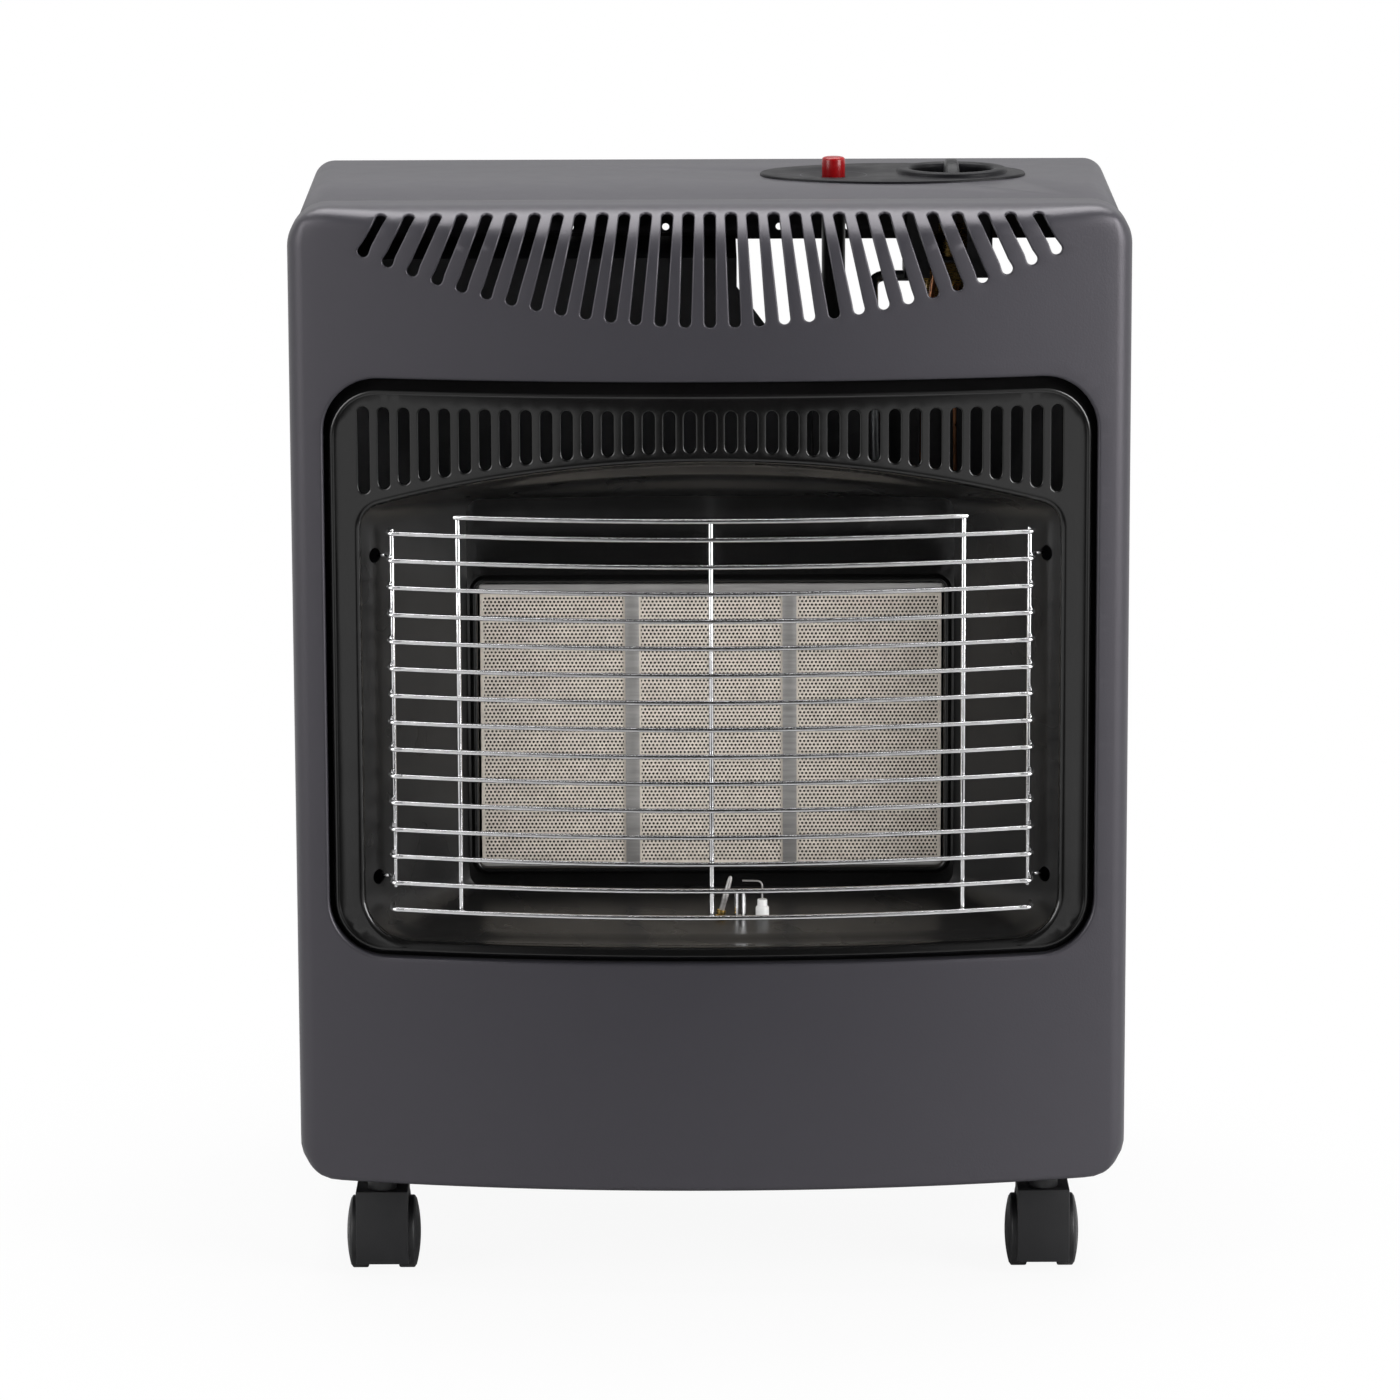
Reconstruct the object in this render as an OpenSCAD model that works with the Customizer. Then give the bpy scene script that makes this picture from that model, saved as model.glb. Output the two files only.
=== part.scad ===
// Mobile gas cabinet heater: a bowed sheet-steel front with a fan of slots, an enamelled
// firebox with three ceramic plaques behind a wire guard, gas controls under the top,
// a base tray for the gas bottle, a pull-off rear cover and four twin-wheel castors.
//
// All pieces are laid out with y measured back from the foremost point of the front panel;
// from_front() then puts the origin under the middle of the whole heater, on the floor.

/* [Cabinet] */
// Width across the front panel
panel_w = 450; // [440:1:470]
// Height of the flat top above the floor
top_z = 590; // [580:1:610]
// Depth of the cabinet from the foremost point of the panel to the rear edge of the top
cabinet_d = 245; // [240:1:260]
// Width of the cabinet behind the panel
cabinet_w = 439; // [430:1:442]
// Radius of the long top edges of the cabinet
cabinet_r = 12; // [10:1:18]
// Thickness of the painted sheet steel
sheet = 1.2; // [1:0.1:1.4]
// Gap between pieces that are screwed or clipped together
seat_gap = 0.1; // [0.05:0.05:0.15]
// Width of the flanges turned in along the cabinet's edges
flange_w = 15; // [12:1:16]
// Height of the flange turned down at the rear of the top
rear_flange_h = 45; // [35:1:50]

/* [Front panel] */
// Radius of the panel's bow, seen from above
panel_r = 835; // [800:5:900]
// Radius of the panel's upright edges
panel_edge_r = 12; // [10:1:14]
// Radius at which the panel rolls over to the top
roll_r = 40; // [36:1:42]
// Radius of the panel's upper corners, seen from the front
panel_top_r = 22; // [18:1:26]
// Radius of the panel's lower corners, seen from the front
panel_low_r = 20; // [16:1:24]
// Height of the panel's lower edge above the floor
panel_z = 57; // [55:1:58]
// Depth of the panel's sides, from its foremost point
panel_d = 60; // [56:1:64]
// Width of the opening in the panel
opening_w = 413.5; // [411:0.5:415]
// Height of the lower edge of the opening above the floor
opening_z = 183.6; // [182:0.2:185]
// Height of the opening
opening_h = 316; // [315:1:318]
// Radius of the opening's corners
opening_r = 30; // [27:1:33]
// Depth of the lip turned in round the opening
lip_d = 10; // [8:1:11]

/* [Fan of slots] */
// Number of slots on each side of the middle one
fan_half = 14; // [8:1:14]
// Width of a slot
fan_slot_w = 6; // [4:0.2:7]
// Spacing of the slots along their lower ends
fan_pitch = 13.3; // [12:0.1:13.4]
// Tilt of the outermost slots
fan_tilt = 22.6; // [15:0.1:24]
// Height of the lower end of the middle slot
fan_z = 527.7; // [524:0.1:532]
// Radius of the arc through the lower ends
fan_r = 490; // [480:5:600]
// Distance of the slots' upper ends below the top
fan_drop = 3.2; // [2.6:0.1:5]

/* [Enamel surround] */
// Gap at the sides between the opening and the bead of the surround
bead_gap = 3.3; // [3:0.1:4]
// Distance of the bead below the top of the opening
bead_drop = 6.5; // [5:0.5:12]
// Distance of the bead above the bottom of the opening
bead_rise = 3; // [2:0.5:4]
// Distance of the surround's face behind the panel's face
face_set = 4; // [3:0.5:5]
// Thickness of the enamelled sheet
enamel_t = 1; // [0.8:0.1:1.2]
// Width of the mouth of the firebox
mouth_w = 374; // [366:1:378]
// Height of the lower edge of the mouth above the floor
mouth_z = 192; // [191:1:196]
// Height of the crown of the mouth above the floor
mouth_top_z = 455.5; // [450:0.5:457]
// Radius of the arched top of the mouth
mouth_r = 640; // [600:10:700]
// Radius of the mouth's lower corners
mouth_low_r = 25; // [20:1:28]
// Radius of the mouth's upper corners
mouth_top_r = 14; // [10:1:18]
// Number of slots on each side of the middle slot of the surround
louvre_half = 17; // [10:1:17]
// Spacing of the surround's slots
louvre_pitch = 10.8; // [10:0.1:11]
// Width of the surround's slots
louvre_w = 5.8; // [4:0.1:6.4]
// Height of the upper ends of the surround's slots above the floor
louvre_z = 483.5; // [480:0.5:485]
// Distance of the slots' lower ends above the mouth
louvre_gap = 7; // [5.5:0.5:9]

/* [Burner] */
// Distance of the firebox's back edge behind the panel's foremost point
fire_back_y = 91; // [88:1:92]
// Width of one ceramic plaque
plaque_w = 80; // [76:1:80]
// Height of a ceramic plaque
plaque_h = 152; // [148:1:154]
// Thickness of a ceramic plaque
plaque_t = 12; // [10:1:13]
// Width of the steel strips between the plaques
strip_w = 6; // [5:0.5:7]
// Height of the lower edge of the plaques above the floor
plaque_z = 219; // [217:1:221]
// Depth of the burner housing behind the plaques
housing_d = 22; // [18:1:22]
// Bore of the venturi tubes
venturi_bore = 16; // [14:1:18]
// Outer diameter of the gas rail
rail_d = 10; // [8:1:12]
// Outer diameter of the gas pipe
pipe_d = 6; // [5:0.5:7]

/* [Guard] */
// Diameter of the guard's wires
wire_d = 2.6; // [2.2:0.1:2.8]
// Number of full-width wires
wires = 15; // [10:1:15]
// Spacing of the wires
wire_pitch = 14.7; // [14:0.1:14.8]
// Height of the lowest wire above the floor
wire_z = 209.9; // [209:0.1:212]
// Radius of the guard's bow, seen from above
guard_r = 630; // [600:10:660]
// Half the width of the guard's wires
guard_half = 170; // [166:0.5:171]
// Distance that the guard stands out in front of the panel
guard_out = 3.3; // [3:0.1:4]
// Offset of the upright wires from the middle
upright_x = 135; // [120:1:140]

/* [Controls] */
// Length of the control plate
plate_l = 146; // [144:1:150]
// Depth of the control plate
plate_w = 88; // [84:1:92]
// Radius of the control plate's ends
plate_r = 30; // [28:1:32]
// Offset of the control plate from the middle
plate_x = 101; // [98:1:104]
// Distance of the controls behind the panel's foremost point
controls_y = 168; // [166:1:172]
// Spacing of the button and the knob
controls_pitch = 65; // [64:1:67]
// Diameter of the knob
knob_d = 44; // [42:0.5:45]
// Diameter of the raised ring round the knob
ring_d = 61; // [59:1:62]
// Diameter of the ignition button
button_d = 12.8; // [11:0.1:14]
// Distance that the button stands above the top
button_out = 10; // [9.5:0.5:12]
// Diameter of the gas inlet's thread
inlet_d = 13.2; // [12:0.1:14]
// Length of the gas inlet's thread
inlet_l = 12; // [10:1:16]
// Travel of the ignition button
button_travel = 6; // [5:0.5:6.5]
// Distance that the knob can be pressed in
knob_travel = 4; // [3:0.5:4]
// Diameter of the knob's spindle
spindle_d = 6; // [5:0.5:7]
// Running clearance of turning and sliding pieces, on the radius
run_fit = 0.1; // [0.05:0.01:0.1]

/* [Rear] */
// Distance that the rear cover stands out behind the cabinet
cover_d = 145; // [140:1:155]
// Height of the rear cover's upper edge above the floor
cover_top_z = 440; // [430:1:450]
// Radius of the bow of the rear cover, seen from above
cover_r = 700; // [650:10:800]
// Radius of the rear cover's upright corners
cover_edge_r = 60; // [50:1:70]
// Height of the tray's underside above the floor
tray_z = 60; // [59:1:62]
// Height of the rim round the tray
rim_h = 20; // [16:1:22]
// Distance of the tray's front edge behind the panel's foremost point
tray_y = 34; // [33:1:36]
// Distance of the heat shield behind the panel's foremost point
shield_y = 146; // [145:1:147]
// Height of the shield's upper edge above the floor
shield_top_z = 547; // [540:1:548]
// Diameter of the studs that locate the rear cover
stud_d = 5; // [4:0.5:6]

/* [Castors] */
// Diameter of the castor wheels
wheel_d = 40; // [38:1:40]
// Width over both wheels of a castor
castor_w = 40.4; // [38:0.2:42]
// Width of the tread of a wheel
tread_w = 9; // [7:0.5:10]
// Distance from the swivel axis to the axle
trail = 14; // [12:1:16]
// Distance between the left and right castors' swivels
castor_track = 362; // [350:1:366]
// Distance of the front swivels behind the panel's foremost point
castor_y = 42.5; // [42:0.5:46]
// Distance between the front and rear castors' swivels
castor_base = 280; // [270:1:286]
// Diameter of the castor stems
stem_d = 8; // [7:0.5:9]
// Diameter of the castor axles
axle_d = 6; // [5:0.5:7]

/* [Hidden] */
$fn = 64;

paint = "#55555a";
enamel = "#1c1b1c";
steel = "#b9babd";
zinc = "#8d9196";
brass = "#b0893c";
ceramic = "#dcd6cb";
black = "#222224";

e = 0.01;           // overlap of cutting bodies
long = 1000;        // length of cutting bodies
overall_d = guard_out + cabinet_d + cover_d;
shell_half = cabinet_w / 2;
inner_half = shell_half - sheet;
front_y = panel_d - 16;                  // front edge of the cabinet's sides
joint_y = roll_r + 3.4;                  // rear edge of the panel's top flange
roll_lead = 0.3;                         // distance that the roll's front stands before the bow
tray_top = tray_z + sheet;
tray_half = inner_half - seat_gap;
knob_x = plate_x + controls_pitch / 2;
button_x = plate_x - controls_pitch / 2;
castor_spots = [
    [-castor_track / 2, castor_y], [castor_track / 2, castor_y],
    [-castor_track / 2, castor_y + castor_base], [castor_track / 2, castor_y + castor_base]
];

// Moves pieces from the panel's foremost point to the middle of the heater.
module from_front() translate([0, guard_out - overall_d / 2, 0]) children();

// Distance of the panel's face, or of a sheet set behind it, at offset x from the middle.
function bow_y(x, set = 0) = panel_r - sqrt(pow(panel_r - set, 2) - x * x);

// Circle of points from angle a0 to a1.
function arc_points(cx, cy, r, a0, a1, n) =
    [for (i = [0 : n]) let (a = a0 + (a1 - a0) * i / n) [cx + r * cos(a), cy + r * sin(a)]];

// A box-shaped outline with an arched top, as points that run the same way for any size;
// its lower edge is split into the given number of parts.
function arch_outline(half, low, crown, arch_r, low_r, top_r, parts = 1) =
    let (
        cx = half - top_r,
        centre = crown - arch_r,
        cz = centre + sqrt(pow(arch_r - top_r, 2) - cx * cx),
        turn = atan2(cz - centre, cx),
        arch = arc_points(0, centre, arch_r, turn, 180 - turn, 16)
    )
    concat(
        arc_points(half - low_r, low + low_r, low_r, -90, 0, 5),
        arc_points(cx, cz, top_r, 0, turn, 4),
        [for (i = [1 : len(arch) - 2]) arch[i]],
        arc_points(-cx, cz, top_r, 180 - turn, 180, 4),
        arc_points(low_r - half, low + low_r, low_r, 180, 270, 5),
        [for (i = [1 : 1 : parts - 1]) [(half - low_r) * (2 * i / parts - 1), low]]
    );

// A walled funnel through two stacks of rings, one for its outside and one for its inside.
module funnel(outside, inside) {
    n = len(outside[0]);
    m = len(outside);
    points = [for (ring = concat(outside, inside)) each ring];
    wall = [
        for (i = [0 : m - 2], j = [0 : n - 1]) let (k = (j + 1) % n)
            each [[i * n + j, i * n + k, (i + 1) * n + j], [i * n + k, (i + 1) * n + k, (i + 1) * n + j]]
    ];
    back = [for (f = wall) [f[2] + m * n, f[1] + m * n, f[0] + m * n]];
    rims = [
        for (i = [0, m - 1], j = [0 : n - 1]) let (
            k = (j + 1) % n, a = i * n + j, b = i * n + k, c = a + m * n, d = b + m * n)
            each i == 0 ? [[a, c, b], [b, c, d]] : [[a, b, c], [b, d, c]]
    ];
    polyhedron(points = points, faces = concat(wall, back, rims));
}

// Unit vector along v.
function unit(v) = v / norm(v);

// A path with each corner replaced by a short bend of the given radius.
function round_path(path, r, n = 3) =
    concat(
        [path[0]],
        [for (i = [1 : len(path) - 2]) let (
            p = path[i], a = unit(path[i - 1] - p), b = unit(path[i + 1] - p),
            half = acos(max(-1, min(1, a * b))) / 2, cut = r / tan(half),
            mid = unit(a + b), centre = p + mid * r / sin(half),
            p0 = p + a * cut - centre, p1 = p + b * cut - centre, swing = 180 - 2 * half)
            each [for (k = [0 : n]) let (t = k / n)
                centre + (sin((1 - t) * swing) * p0 + sin(t * swing) * p1) / sin(swing)]],
        [path[len(path) - 1]]
    );

// A round bar or tube of s sides along a path, as one closed body.
module sweep(path, d, s = 8) {
    n = len(path);
    along = [for (i = [0 : n - 1]) unit(path[min(i + 1, n - 1)] - path[max(i - 1, 0)])];
    start = abs(along[0].z) < 0.9 ? [0, 0, 1] : [1, 0, 0];
    first = unit(cross(along[0], start));
    sides = [for (i = 0, u = first; i < n;
        i = i + 1, u = i < n ? unit(u - along[i] * (u * along[i])) : u) u];
    points = [for (i = [0 : n - 1]) let (u = sides[i], v = cross(along[i], u))
        each [for (j = [0 : s - 1]) path[i] + (u * cos(360 * j / s) + v * sin(360 * j / s)) * d / 2]];
    skin = [for (i = [0 : n - 2], j = [0 : s - 1]) let (k = (j + 1) % s)
        [i * s + j, (i + 1) * s + j, (i + 1) * s + k, i * s + k]];
    caps = [[for (j = [0 : s - 1]) j], [for (j = [s - 1 : -1 : 0]) (n - 1) * s + j]];
    polyhedron(points = points, faces = concat(skin, caps));
}

// Rectangle between two heights with its own radii at the bottom and the top.
module round_rect(w, low, high, low_r, top_r) {
    difference() {
        translate([-w / 2, low]) square([w, high - low]);
        for (s = [0, 1]) mirror([s, 0]) {
            translate([w / 2 - low_r, low + low_r]) corner_cut(low_r, -1);
            translate([w / 2 - top_r, high - top_r]) corner_cut(top_r, 1);
        }
    }
}

// What a rounded corner of radius r takes off a square one.
module corner_cut(r, up) {
    difference() {
        translate([0, up > 0 ? 0 : -r - 1]) square(r + 1);
        circle(r);
    }
}

// Outline of the bowed panel seen from above, set in all round, back to y = depth.
module bowed_plan(half, face_r, edge_r, depth, set = 0) {
    cx = half - edge_r;
    cy = face_r - sqrt(pow(face_r - edge_r, 2) - cx * cx);
    turn = asin(cx / (face_r - edge_r));
    bend = arc_points(cx, cy, edge_r - set, turn - 90, 0, 8);
    difference() {
        intersection() {
            translate([set - half, 0]) square([2 * (half - set), depth]);
            translate([0, face_r]) circle(face_r - set, $fn = 360);
        }
        // Rounded edges: the first and last chords run on past the faces that they meet
        for (s = [0, 1]) mirror([s, 0]) polygon(concat(
            [2 * bend[0] - bend[1]],
            [for (i = [1 : 7]) bend[i]],
            [2 * bend[8] - bend[7], [half + edge_r, cy], [half + edge_r, -edge_r], [cx, -edge_r]]));
    }
}

// Ring-shaped band between two depths behind the panel's face, over the panel's height.
module bow_band(from, to, low, high) translate([0, 0, low]) linear_extrude(high - low) {
    difference() {
        intersection() {
            translate([0, panel_r]) circle(panel_r - from, $fn = 360);
            translate([-panel_w, 0]) square([2 * panel_w, panel_d]);
        }
        translate([0, panel_r]) circle(panel_r - to, $fn = 360);
    }
}

// Runs an outline drawn as (x, z) from the front of the heater to the back.
module along_y(depth = long, from = -100) translate([0, from + depth, 0])
    rotate([90, 0, 0]) linear_extrude(depth) children();

// Runs an outline drawn as (y, z) across the heater's width.
module along_x(w) translate([-w / 2, 0, 0]) rotate([90, 0, 90]) linear_extrude(w) children();

module opening_outline(grow = 0)
    round_rect(opening_w + 2 * grow, opening_z - grow, opening_z + opening_h + grow,
        opening_r + grow, opening_r + grow);

// Solid form of the panel, set in all round by a distance.
module panel_form(set = 0) intersection() {
    linear_extrude(long) bowed_plan(panel_w / 2, panel_r, panel_edge_r, panel_d + set, set);
    along_y() round_rect(panel_w - 2 * set, panel_z + set, top_z - set, panel_low_r - set, panel_top_r - set);
    along_x(panel_w) translate([set - roll_lead, 0]) {
        square([panel_d + 1, top_z - roll_r]);
        translate([roll_r - set, top_z - roll_r]) intersection() {
            circle(roll_r - set, $fn = 180);
            translate([-roll_r, 0]) square(roll_r);
        }
        translate([roll_r - set, top_z - roll_r - 1]) square([panel_d, roll_r - set + 1]);
    }
}

// One slot of the fan, drawn as (x, z) from its lower end up.
module fan_slot(i) {
    x = i * fan_pitch;
    low = fan_z + fan_r - sqrt(fan_r * fan_r - x * x) + fan_slot_w / 2;
    high = top_z - fan_drop - fan_slot_w / 2 - 3 * pow(i / fan_half, 2);
    tilt = fan_tilt * i / fan_half;
    reach = (high - low) / cos(tilt);
    translate([x, low]) rotate(tilt) {
        circle(d = fan_slot_w, $fn = 24);
        translate([-fan_slot_w / 2, 0]) square([fan_slot_w, reach]);
        translate([0, reach]) circle(d = fan_slot_w, $fn = 24);
    }
}

module front_panel() color(paint) from_front() {
    difference() {
        panel_form();
        panel_form(sheet);
        translate([-shell_half - seat_gap, joint_y, top_z - cabinet_r - 20])
            cube([cabinet_w + 2 * seat_gap, long, 100]);
        translate([-panel_w / 2 + panel_edge_r, tray_y - 2, panel_z - 1])
            cube([panel_w - 2 * panel_edge_r, long, 30]);
        along_y() opening_outline();
        along_y(roll_r + 103) for (i = [-fan_half : fan_half]) fan_slot(i);
    }
    intersection() {
        bow_band(sheet / 2, lip_d, panel_z, top_z);
        along_y() difference() {
            opening_outline(sheet);
            opening_outline();
        }
    }
    // Return flanges that close the sides against the cabinet
    for (s = [0, 1]) mirror([s, 0, 0])
        translate([shell_half + seat_gap, panel_d - sheet, panel_z + panel_low_r])
            cube([panel_w / 2 - shell_half - seat_gap - sheet / 2, sheet,
                top_z - panel_top_r - panel_z - panel_low_r]);
}

// Section of the cabinet: an upside-down U.
module shell_outline(set = 0) {
    difference() {
        translate([set - shell_half, panel_z + 1]) square([cabinet_w - 2 * set, top_z - set - panel_z - 1]);
        for (s = [0, 1]) mirror([s, 0])
            translate([shell_half - cabinet_r, top_z - cabinet_r]) corner_cut(cabinet_r - set, 1);
    }
}

// Screw places along each side of the cabinet, as (y, z).
side_screws = [
    [tray_y + 70, tray_top + rim_h / 2], [cabinet_d - 25, tray_top + rim_h / 2]
];
screw_d = 4;
cover_holes_z = [tray_z + 60, cover_top_z - 40];
stud_x = inner_half - flange_w / 2;
vent_y = cabinet_d - sheet;
flange_holes = [-78.2, -24.4, 39.5, 78.2];  // fixing holes along the top flange

side_foot = panel_z + panel_low_r + seat_gap
    - sqrt(pow(panel_low_r - sheet, 2) - pow(shell_half - panel_w / 2 + panel_low_r, 2));

module cabinet_shell() color(paint) from_front() difference() {
    union() {
        difference() {
            along_y(cabinet_d - joint_y - seat_gap, joint_y + seat_gap) shell_outline();
            along_y() intersection() {
                shell_outline(sheet);
                translate([-shell_half, 0]) square([cabinet_w, top_z]);
            }
            translate([-long / 2, 0, panel_z]) cube([long, front_y, 1]);
        }
        // Sides reach forward into the panel
        for (s = [0, 1]) mirror([s, 0, 0]) translate([inner_half, front_y - 2, panel_z + 1])
            cube([sheet, joint_y - front_y + 3, top_z - 40 - panel_z]);
        // Sunk tongue that lies under the panel's top flange
        translate([-shell_half + 2 * cabinet_r, joint_y - 5, top_z - 2 * sheet - seat_gap])
            cube([cabinet_w - 4 * cabinet_r, 5 + 8, sheet]);
        translate([-shell_half + 2 * cabinet_r, joint_y + seat_gap, top_z - 2 * sheet])
            cube([cabinet_w - 4 * cabinet_r, 8 - seat_gap, sheet + sheet / 2]);
        // Rear flanges: deep at the top, narrow down the sides
        along_y(sheet, cabinet_d - sheet) difference() {
            shell_outline(sheet / 2);
            translate([flange_w - inner_half, 0])
                square([2 * (inner_half - flange_w), top_z - rear_flange_h]);
            translate([-inner_half, 0]) square([2 * inner_half, tray_top + rim_h + 2]);
        }
    }
    // Feet cut back where the panel's lower corners curve in
    translate([-long / 2, 0, 0]) cube([long, panel_d + seat_gap, side_foot]);
    // Seat of the control plate
    translate([knob_x, controls_y, top_z - 30]) cylinder(d = knob_d + 6, h = 60);
    translate([button_x, controls_y, top_z - 30]) cylinder(d = cup_d + 2 * seat_gap, h = 60);
    // Holes for the screws, the cover's studs and, along the top flange, spare fixings
    for (x = [-1, 1], p = side_screws) translate([x * shell_half, p[0], p[1]])
        rotate([0, 90, 0]) cylinder(d = screw_d + 2 * seat_gap, h = 20, center = true);
    for (x = [-1, 1], z = cover_holes_z) translate([x * stud_x, vent_y, z])
        rotate([90, 0, 0]) cylinder(d = stud_d + 2 * run_fit, h = 10, center = true);
    for (x = flange_holes) translate([x, vent_y, top_z - rear_flange_h + 7])
        rotate([90, 0, 0]) cylinder(d = 4, h = 10, center = true);
}

// Outline of the tray and the cover from above: straight sides and a bowed rear.
module rear_plan(set, front) {
    depth = cabinet_d + cover_d;
    translate([0, depth]) mirror([0, 1])
        bowed_plan(shell_half, cover_r, cover_edge_r, depth - front, set);
}

tray_bend = 8;                           // radius along the tray's lower side edges
stand_h = 1.2;                           // height of the stamped platform for the bottle
stand_y = [shield_y + 14, cabinet_d + cover_d - 42];

// Outline of the bottle's platform from above.
module stand_plan(set = 0) offset(r = 20 - set) offset(delta = -20)
    translate([-140, stand_y[0]]) square([280, stand_y[1] - stand_y[0]]);

module base_tray() color(paint) from_front() difference() {
    union() {
        difference() {
            intersection() {
                translate([0, 0, tray_z]) linear_extrude(sheet + rim_h) rear_plan(sheet + seat_gap, tray_y);
                along_y() round_rect(2 * tray_half, tray_z, 2 * tray_z, tray_bend, 1);
            }
            intersection() {
                translate([0, 0, tray_top]) linear_extrude(sheet + rim_h) intersection() {
                    rear_plan(2 * sheet + seat_gap, tray_y);
                    translate([-shell_half, tray_y + sheet]) square([cabinet_w, long]);
                }
                along_y() round_rect(2 * (tray_half - sheet), tray_top, 2 * tray_z, tray_bend - sheet, 1);
            }
        }
        translate([0, 0, tray_top - sheet / 2]) linear_extrude(stand_h + sheet / 2) stand_plan();
    }
    translate([0, 0, tray_z - 1]) linear_extrude(stand_h + 1) stand_plan(sheet);
    for (p = castor_spots) translate([p.x, p.y, 0]) cylinder(d = stem_d + 2 * seat_gap, h = 2 * tray_z);
    // Two rows of air slots under the bottle
    for (x = [-3 : 3], y = [0, 1])
        translate([x * 30, shield_y + 75 + y * 90, tray_z - 1]) air_slot(8, 30, 10);
    for (x = [-1, 1], p = side_screws) translate([x * tray_half, p[0], p[1]])
        rotate([0, 90, 0]) cylinder(d = screw_d + 2 * seat_gap, h = 20, center = true);
}

// Upright cutter for a slot with round ends that runs along y.
module air_slot(w, l, h) {
    for (s = [-1, 1]) translate([0, s * (l - w) / 2, 0]) cylinder(d = w, h = h, $fn = 24);
    translate([-w / 2, -(l - w) / 2, 0]) cube([w, l - w, h]);
}

cover_front = cabinet_d + seat_gap;
cover_low = tray_z - 2;

module rear_cover() color(paint) from_front() difference() {
    union() {
        translate([0, 0, cover_low]) linear_extrude(cover_top_z - cover_low) difference() {
            rear_plan(0, cover_front);
            rear_plan(sheet, 0);
        }
        // Hem along the upper edge
        translate([0, 0, cover_top_z - sheet]) linear_extrude(sheet) difference() {
            rear_plan(sheet / 2, cover_front + 30);
            rear_plan(10, 0);
        }
        // Front flanges that meet the cabinet's rear flanges
        for (s = [0, 1]) mirror([s, 0, 0])
            translate([inner_half - flange_w, cover_front, tray_top + rim_h + 4])
                cube([flange_w + sheet / 2, sheet, cover_top_z - tray_top - rim_h - 4]);
    }
    // Finger hold in the upper rear edge
    translate([0, cabinet_d + cover_d - 40, cover_top_z - 45]) rotate([-90, 0, 0])
        rotate([0, 0, 90]) air_slot(24, 100, 80);
    // Air slots, low and high
    for (x = [-5 : 5], z = [cover_low + 50, cover_top_z - 110])
        translate([x * 22, cabinet_d + cover_d - 40, z]) rotate([-90, 0, 0]) air_slot(7, 44, 80);
    for (x = [-1, 1], z = cover_holes_z) translate([x * stud_x, cover_front - 1, z])
        rotate([-90, 0, 0]) cylinder(d = stud_d - 1, h = 10);
}

module cover_studs() color(zinc) from_front() for (x = [-1, 1], z = cover_holes_z)
    translate([x * stud_x, cover_front, z]) rotate([90, 0, 0]) {
        cylinder(d = stud_d, h = 8);
        translate([0, 0, 8]) cylinder(d1 = stud_d, d2 = stud_d / 2, h = 3);
        translate([0, 0, -sheet]) cylinder(d = stud_d - 1, h = sheet + e);
        translate([0, 0, -sheet - 2]) cylinder(d = stud_d + 3, h = 2);
    }

module cabinet_screws() color(zinc) from_front() for (x = [0, 1], p = side_screws) mirror([x, 0, 0])
    translate([shell_half, p[0], p[1]]) rotate([0, 90, 0]) {
        difference() {
            cylinder(d = 8, h = 2.2);
            translate([-0.6, -2.5, 1]) cube([1.2, 5, 2]);
            translate([-2.5, -0.6, 1]) cube([5, 1.2, 2]);
        }
        translate([0, 0, -9]) cylinder(d = screw_d, h = 9 + e);
    }

// Shield between the firebox and the bottle: full width below, and left of the controls above.
shield_half = inner_half - 6;
shield_low_top = 505;
shield_left = 177;                       // reach of the upper part to the left
shield_right = 15;                       // reach of its upper edge to the right
roof_d = cabinet_d - sheet - seat_gap - shield_y;
roof_lap = 4;                            // lap of its turned-up edge on the rear flange

module heat_shield() color(black) from_front() {
    along_y(sheet, shield_y) difference() {
        union() {
            translate([-shield_half, tray_top]) square([2 * shield_half, shield_low_top - tray_top]);
            polygon([[-shield_left, shield_low_top - 5], [shield_right + 23, shield_low_top - 5],
                [shield_right, shield_top_z - 16], [shield_right, shield_top_z],
                [-shield_left, shield_top_z]]);
        }
        for (i = [-6 : 6]) translate([i * 24, 400]) circle(d = 10);
    }
    // Roof over the bottle, foot and side flanges
    translate([-shield_left, shield_y, shield_top_z - sheet])
        cube([shield_left + shield_right, roof_d, sheet]);
    translate([-shield_left, shield_y + roof_d - sheet, shield_top_z - sheet])
        cube([shield_left + shield_right, sheet, top_z - rear_flange_h + roof_lap - shield_top_z + sheet]);
    translate([-shield_half, shield_y - flange_w, tray_top]) cube([2 * shield_half, flange_w + e, sheet]);
    for (s = [0, 1]) mirror([s, 0, 0])
        translate([shield_half - sheet, shield_y - flange_w, tray_top + rim_h + 5])
            cube([sheet, flange_w + e, shield_low_top - tray_top - rim_h - 5]);
}

bead_half = opening_w / 2 - bead_gap;
bead_low = opening_z + bead_rise;
bead_high = opening_z + opening_h - bead_drop;
bead_r = opening_r - bead_gap;
function mouth(grow = 0, parts = 1) = arch_outline(mouth_w / 2 + grow, mouth_z - grow,
    mouth_top_z + grow, mouth_r + grow, mouth_low_r + grow, mouth_top_r + grow, parts);

module bead_outline(set = 0)
    round_rect(2 * (bead_half - set), bead_low + set, bead_high - set, bead_r - set, bead_r - set);

// One slot of the surround, drawn as (x, z).
module louvre(i) {
    x = i * louvre_pitch;
    low = mouth_top_z - mouth_r + sqrt(pow(mouth_r + louvre_gap, 2) - x * x) + louvre_w / 2;
    translate([x, low]) circle(d = louvre_w, $fn = 24);
    translate([x - louvre_w / 2, low]) square([louvre_w, louvre_z - louvre_w / 2 - low]);
    translate([x, louvre_z - louvre_w / 2]) circle(d = louvre_w, $fn = 24);
}

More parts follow.
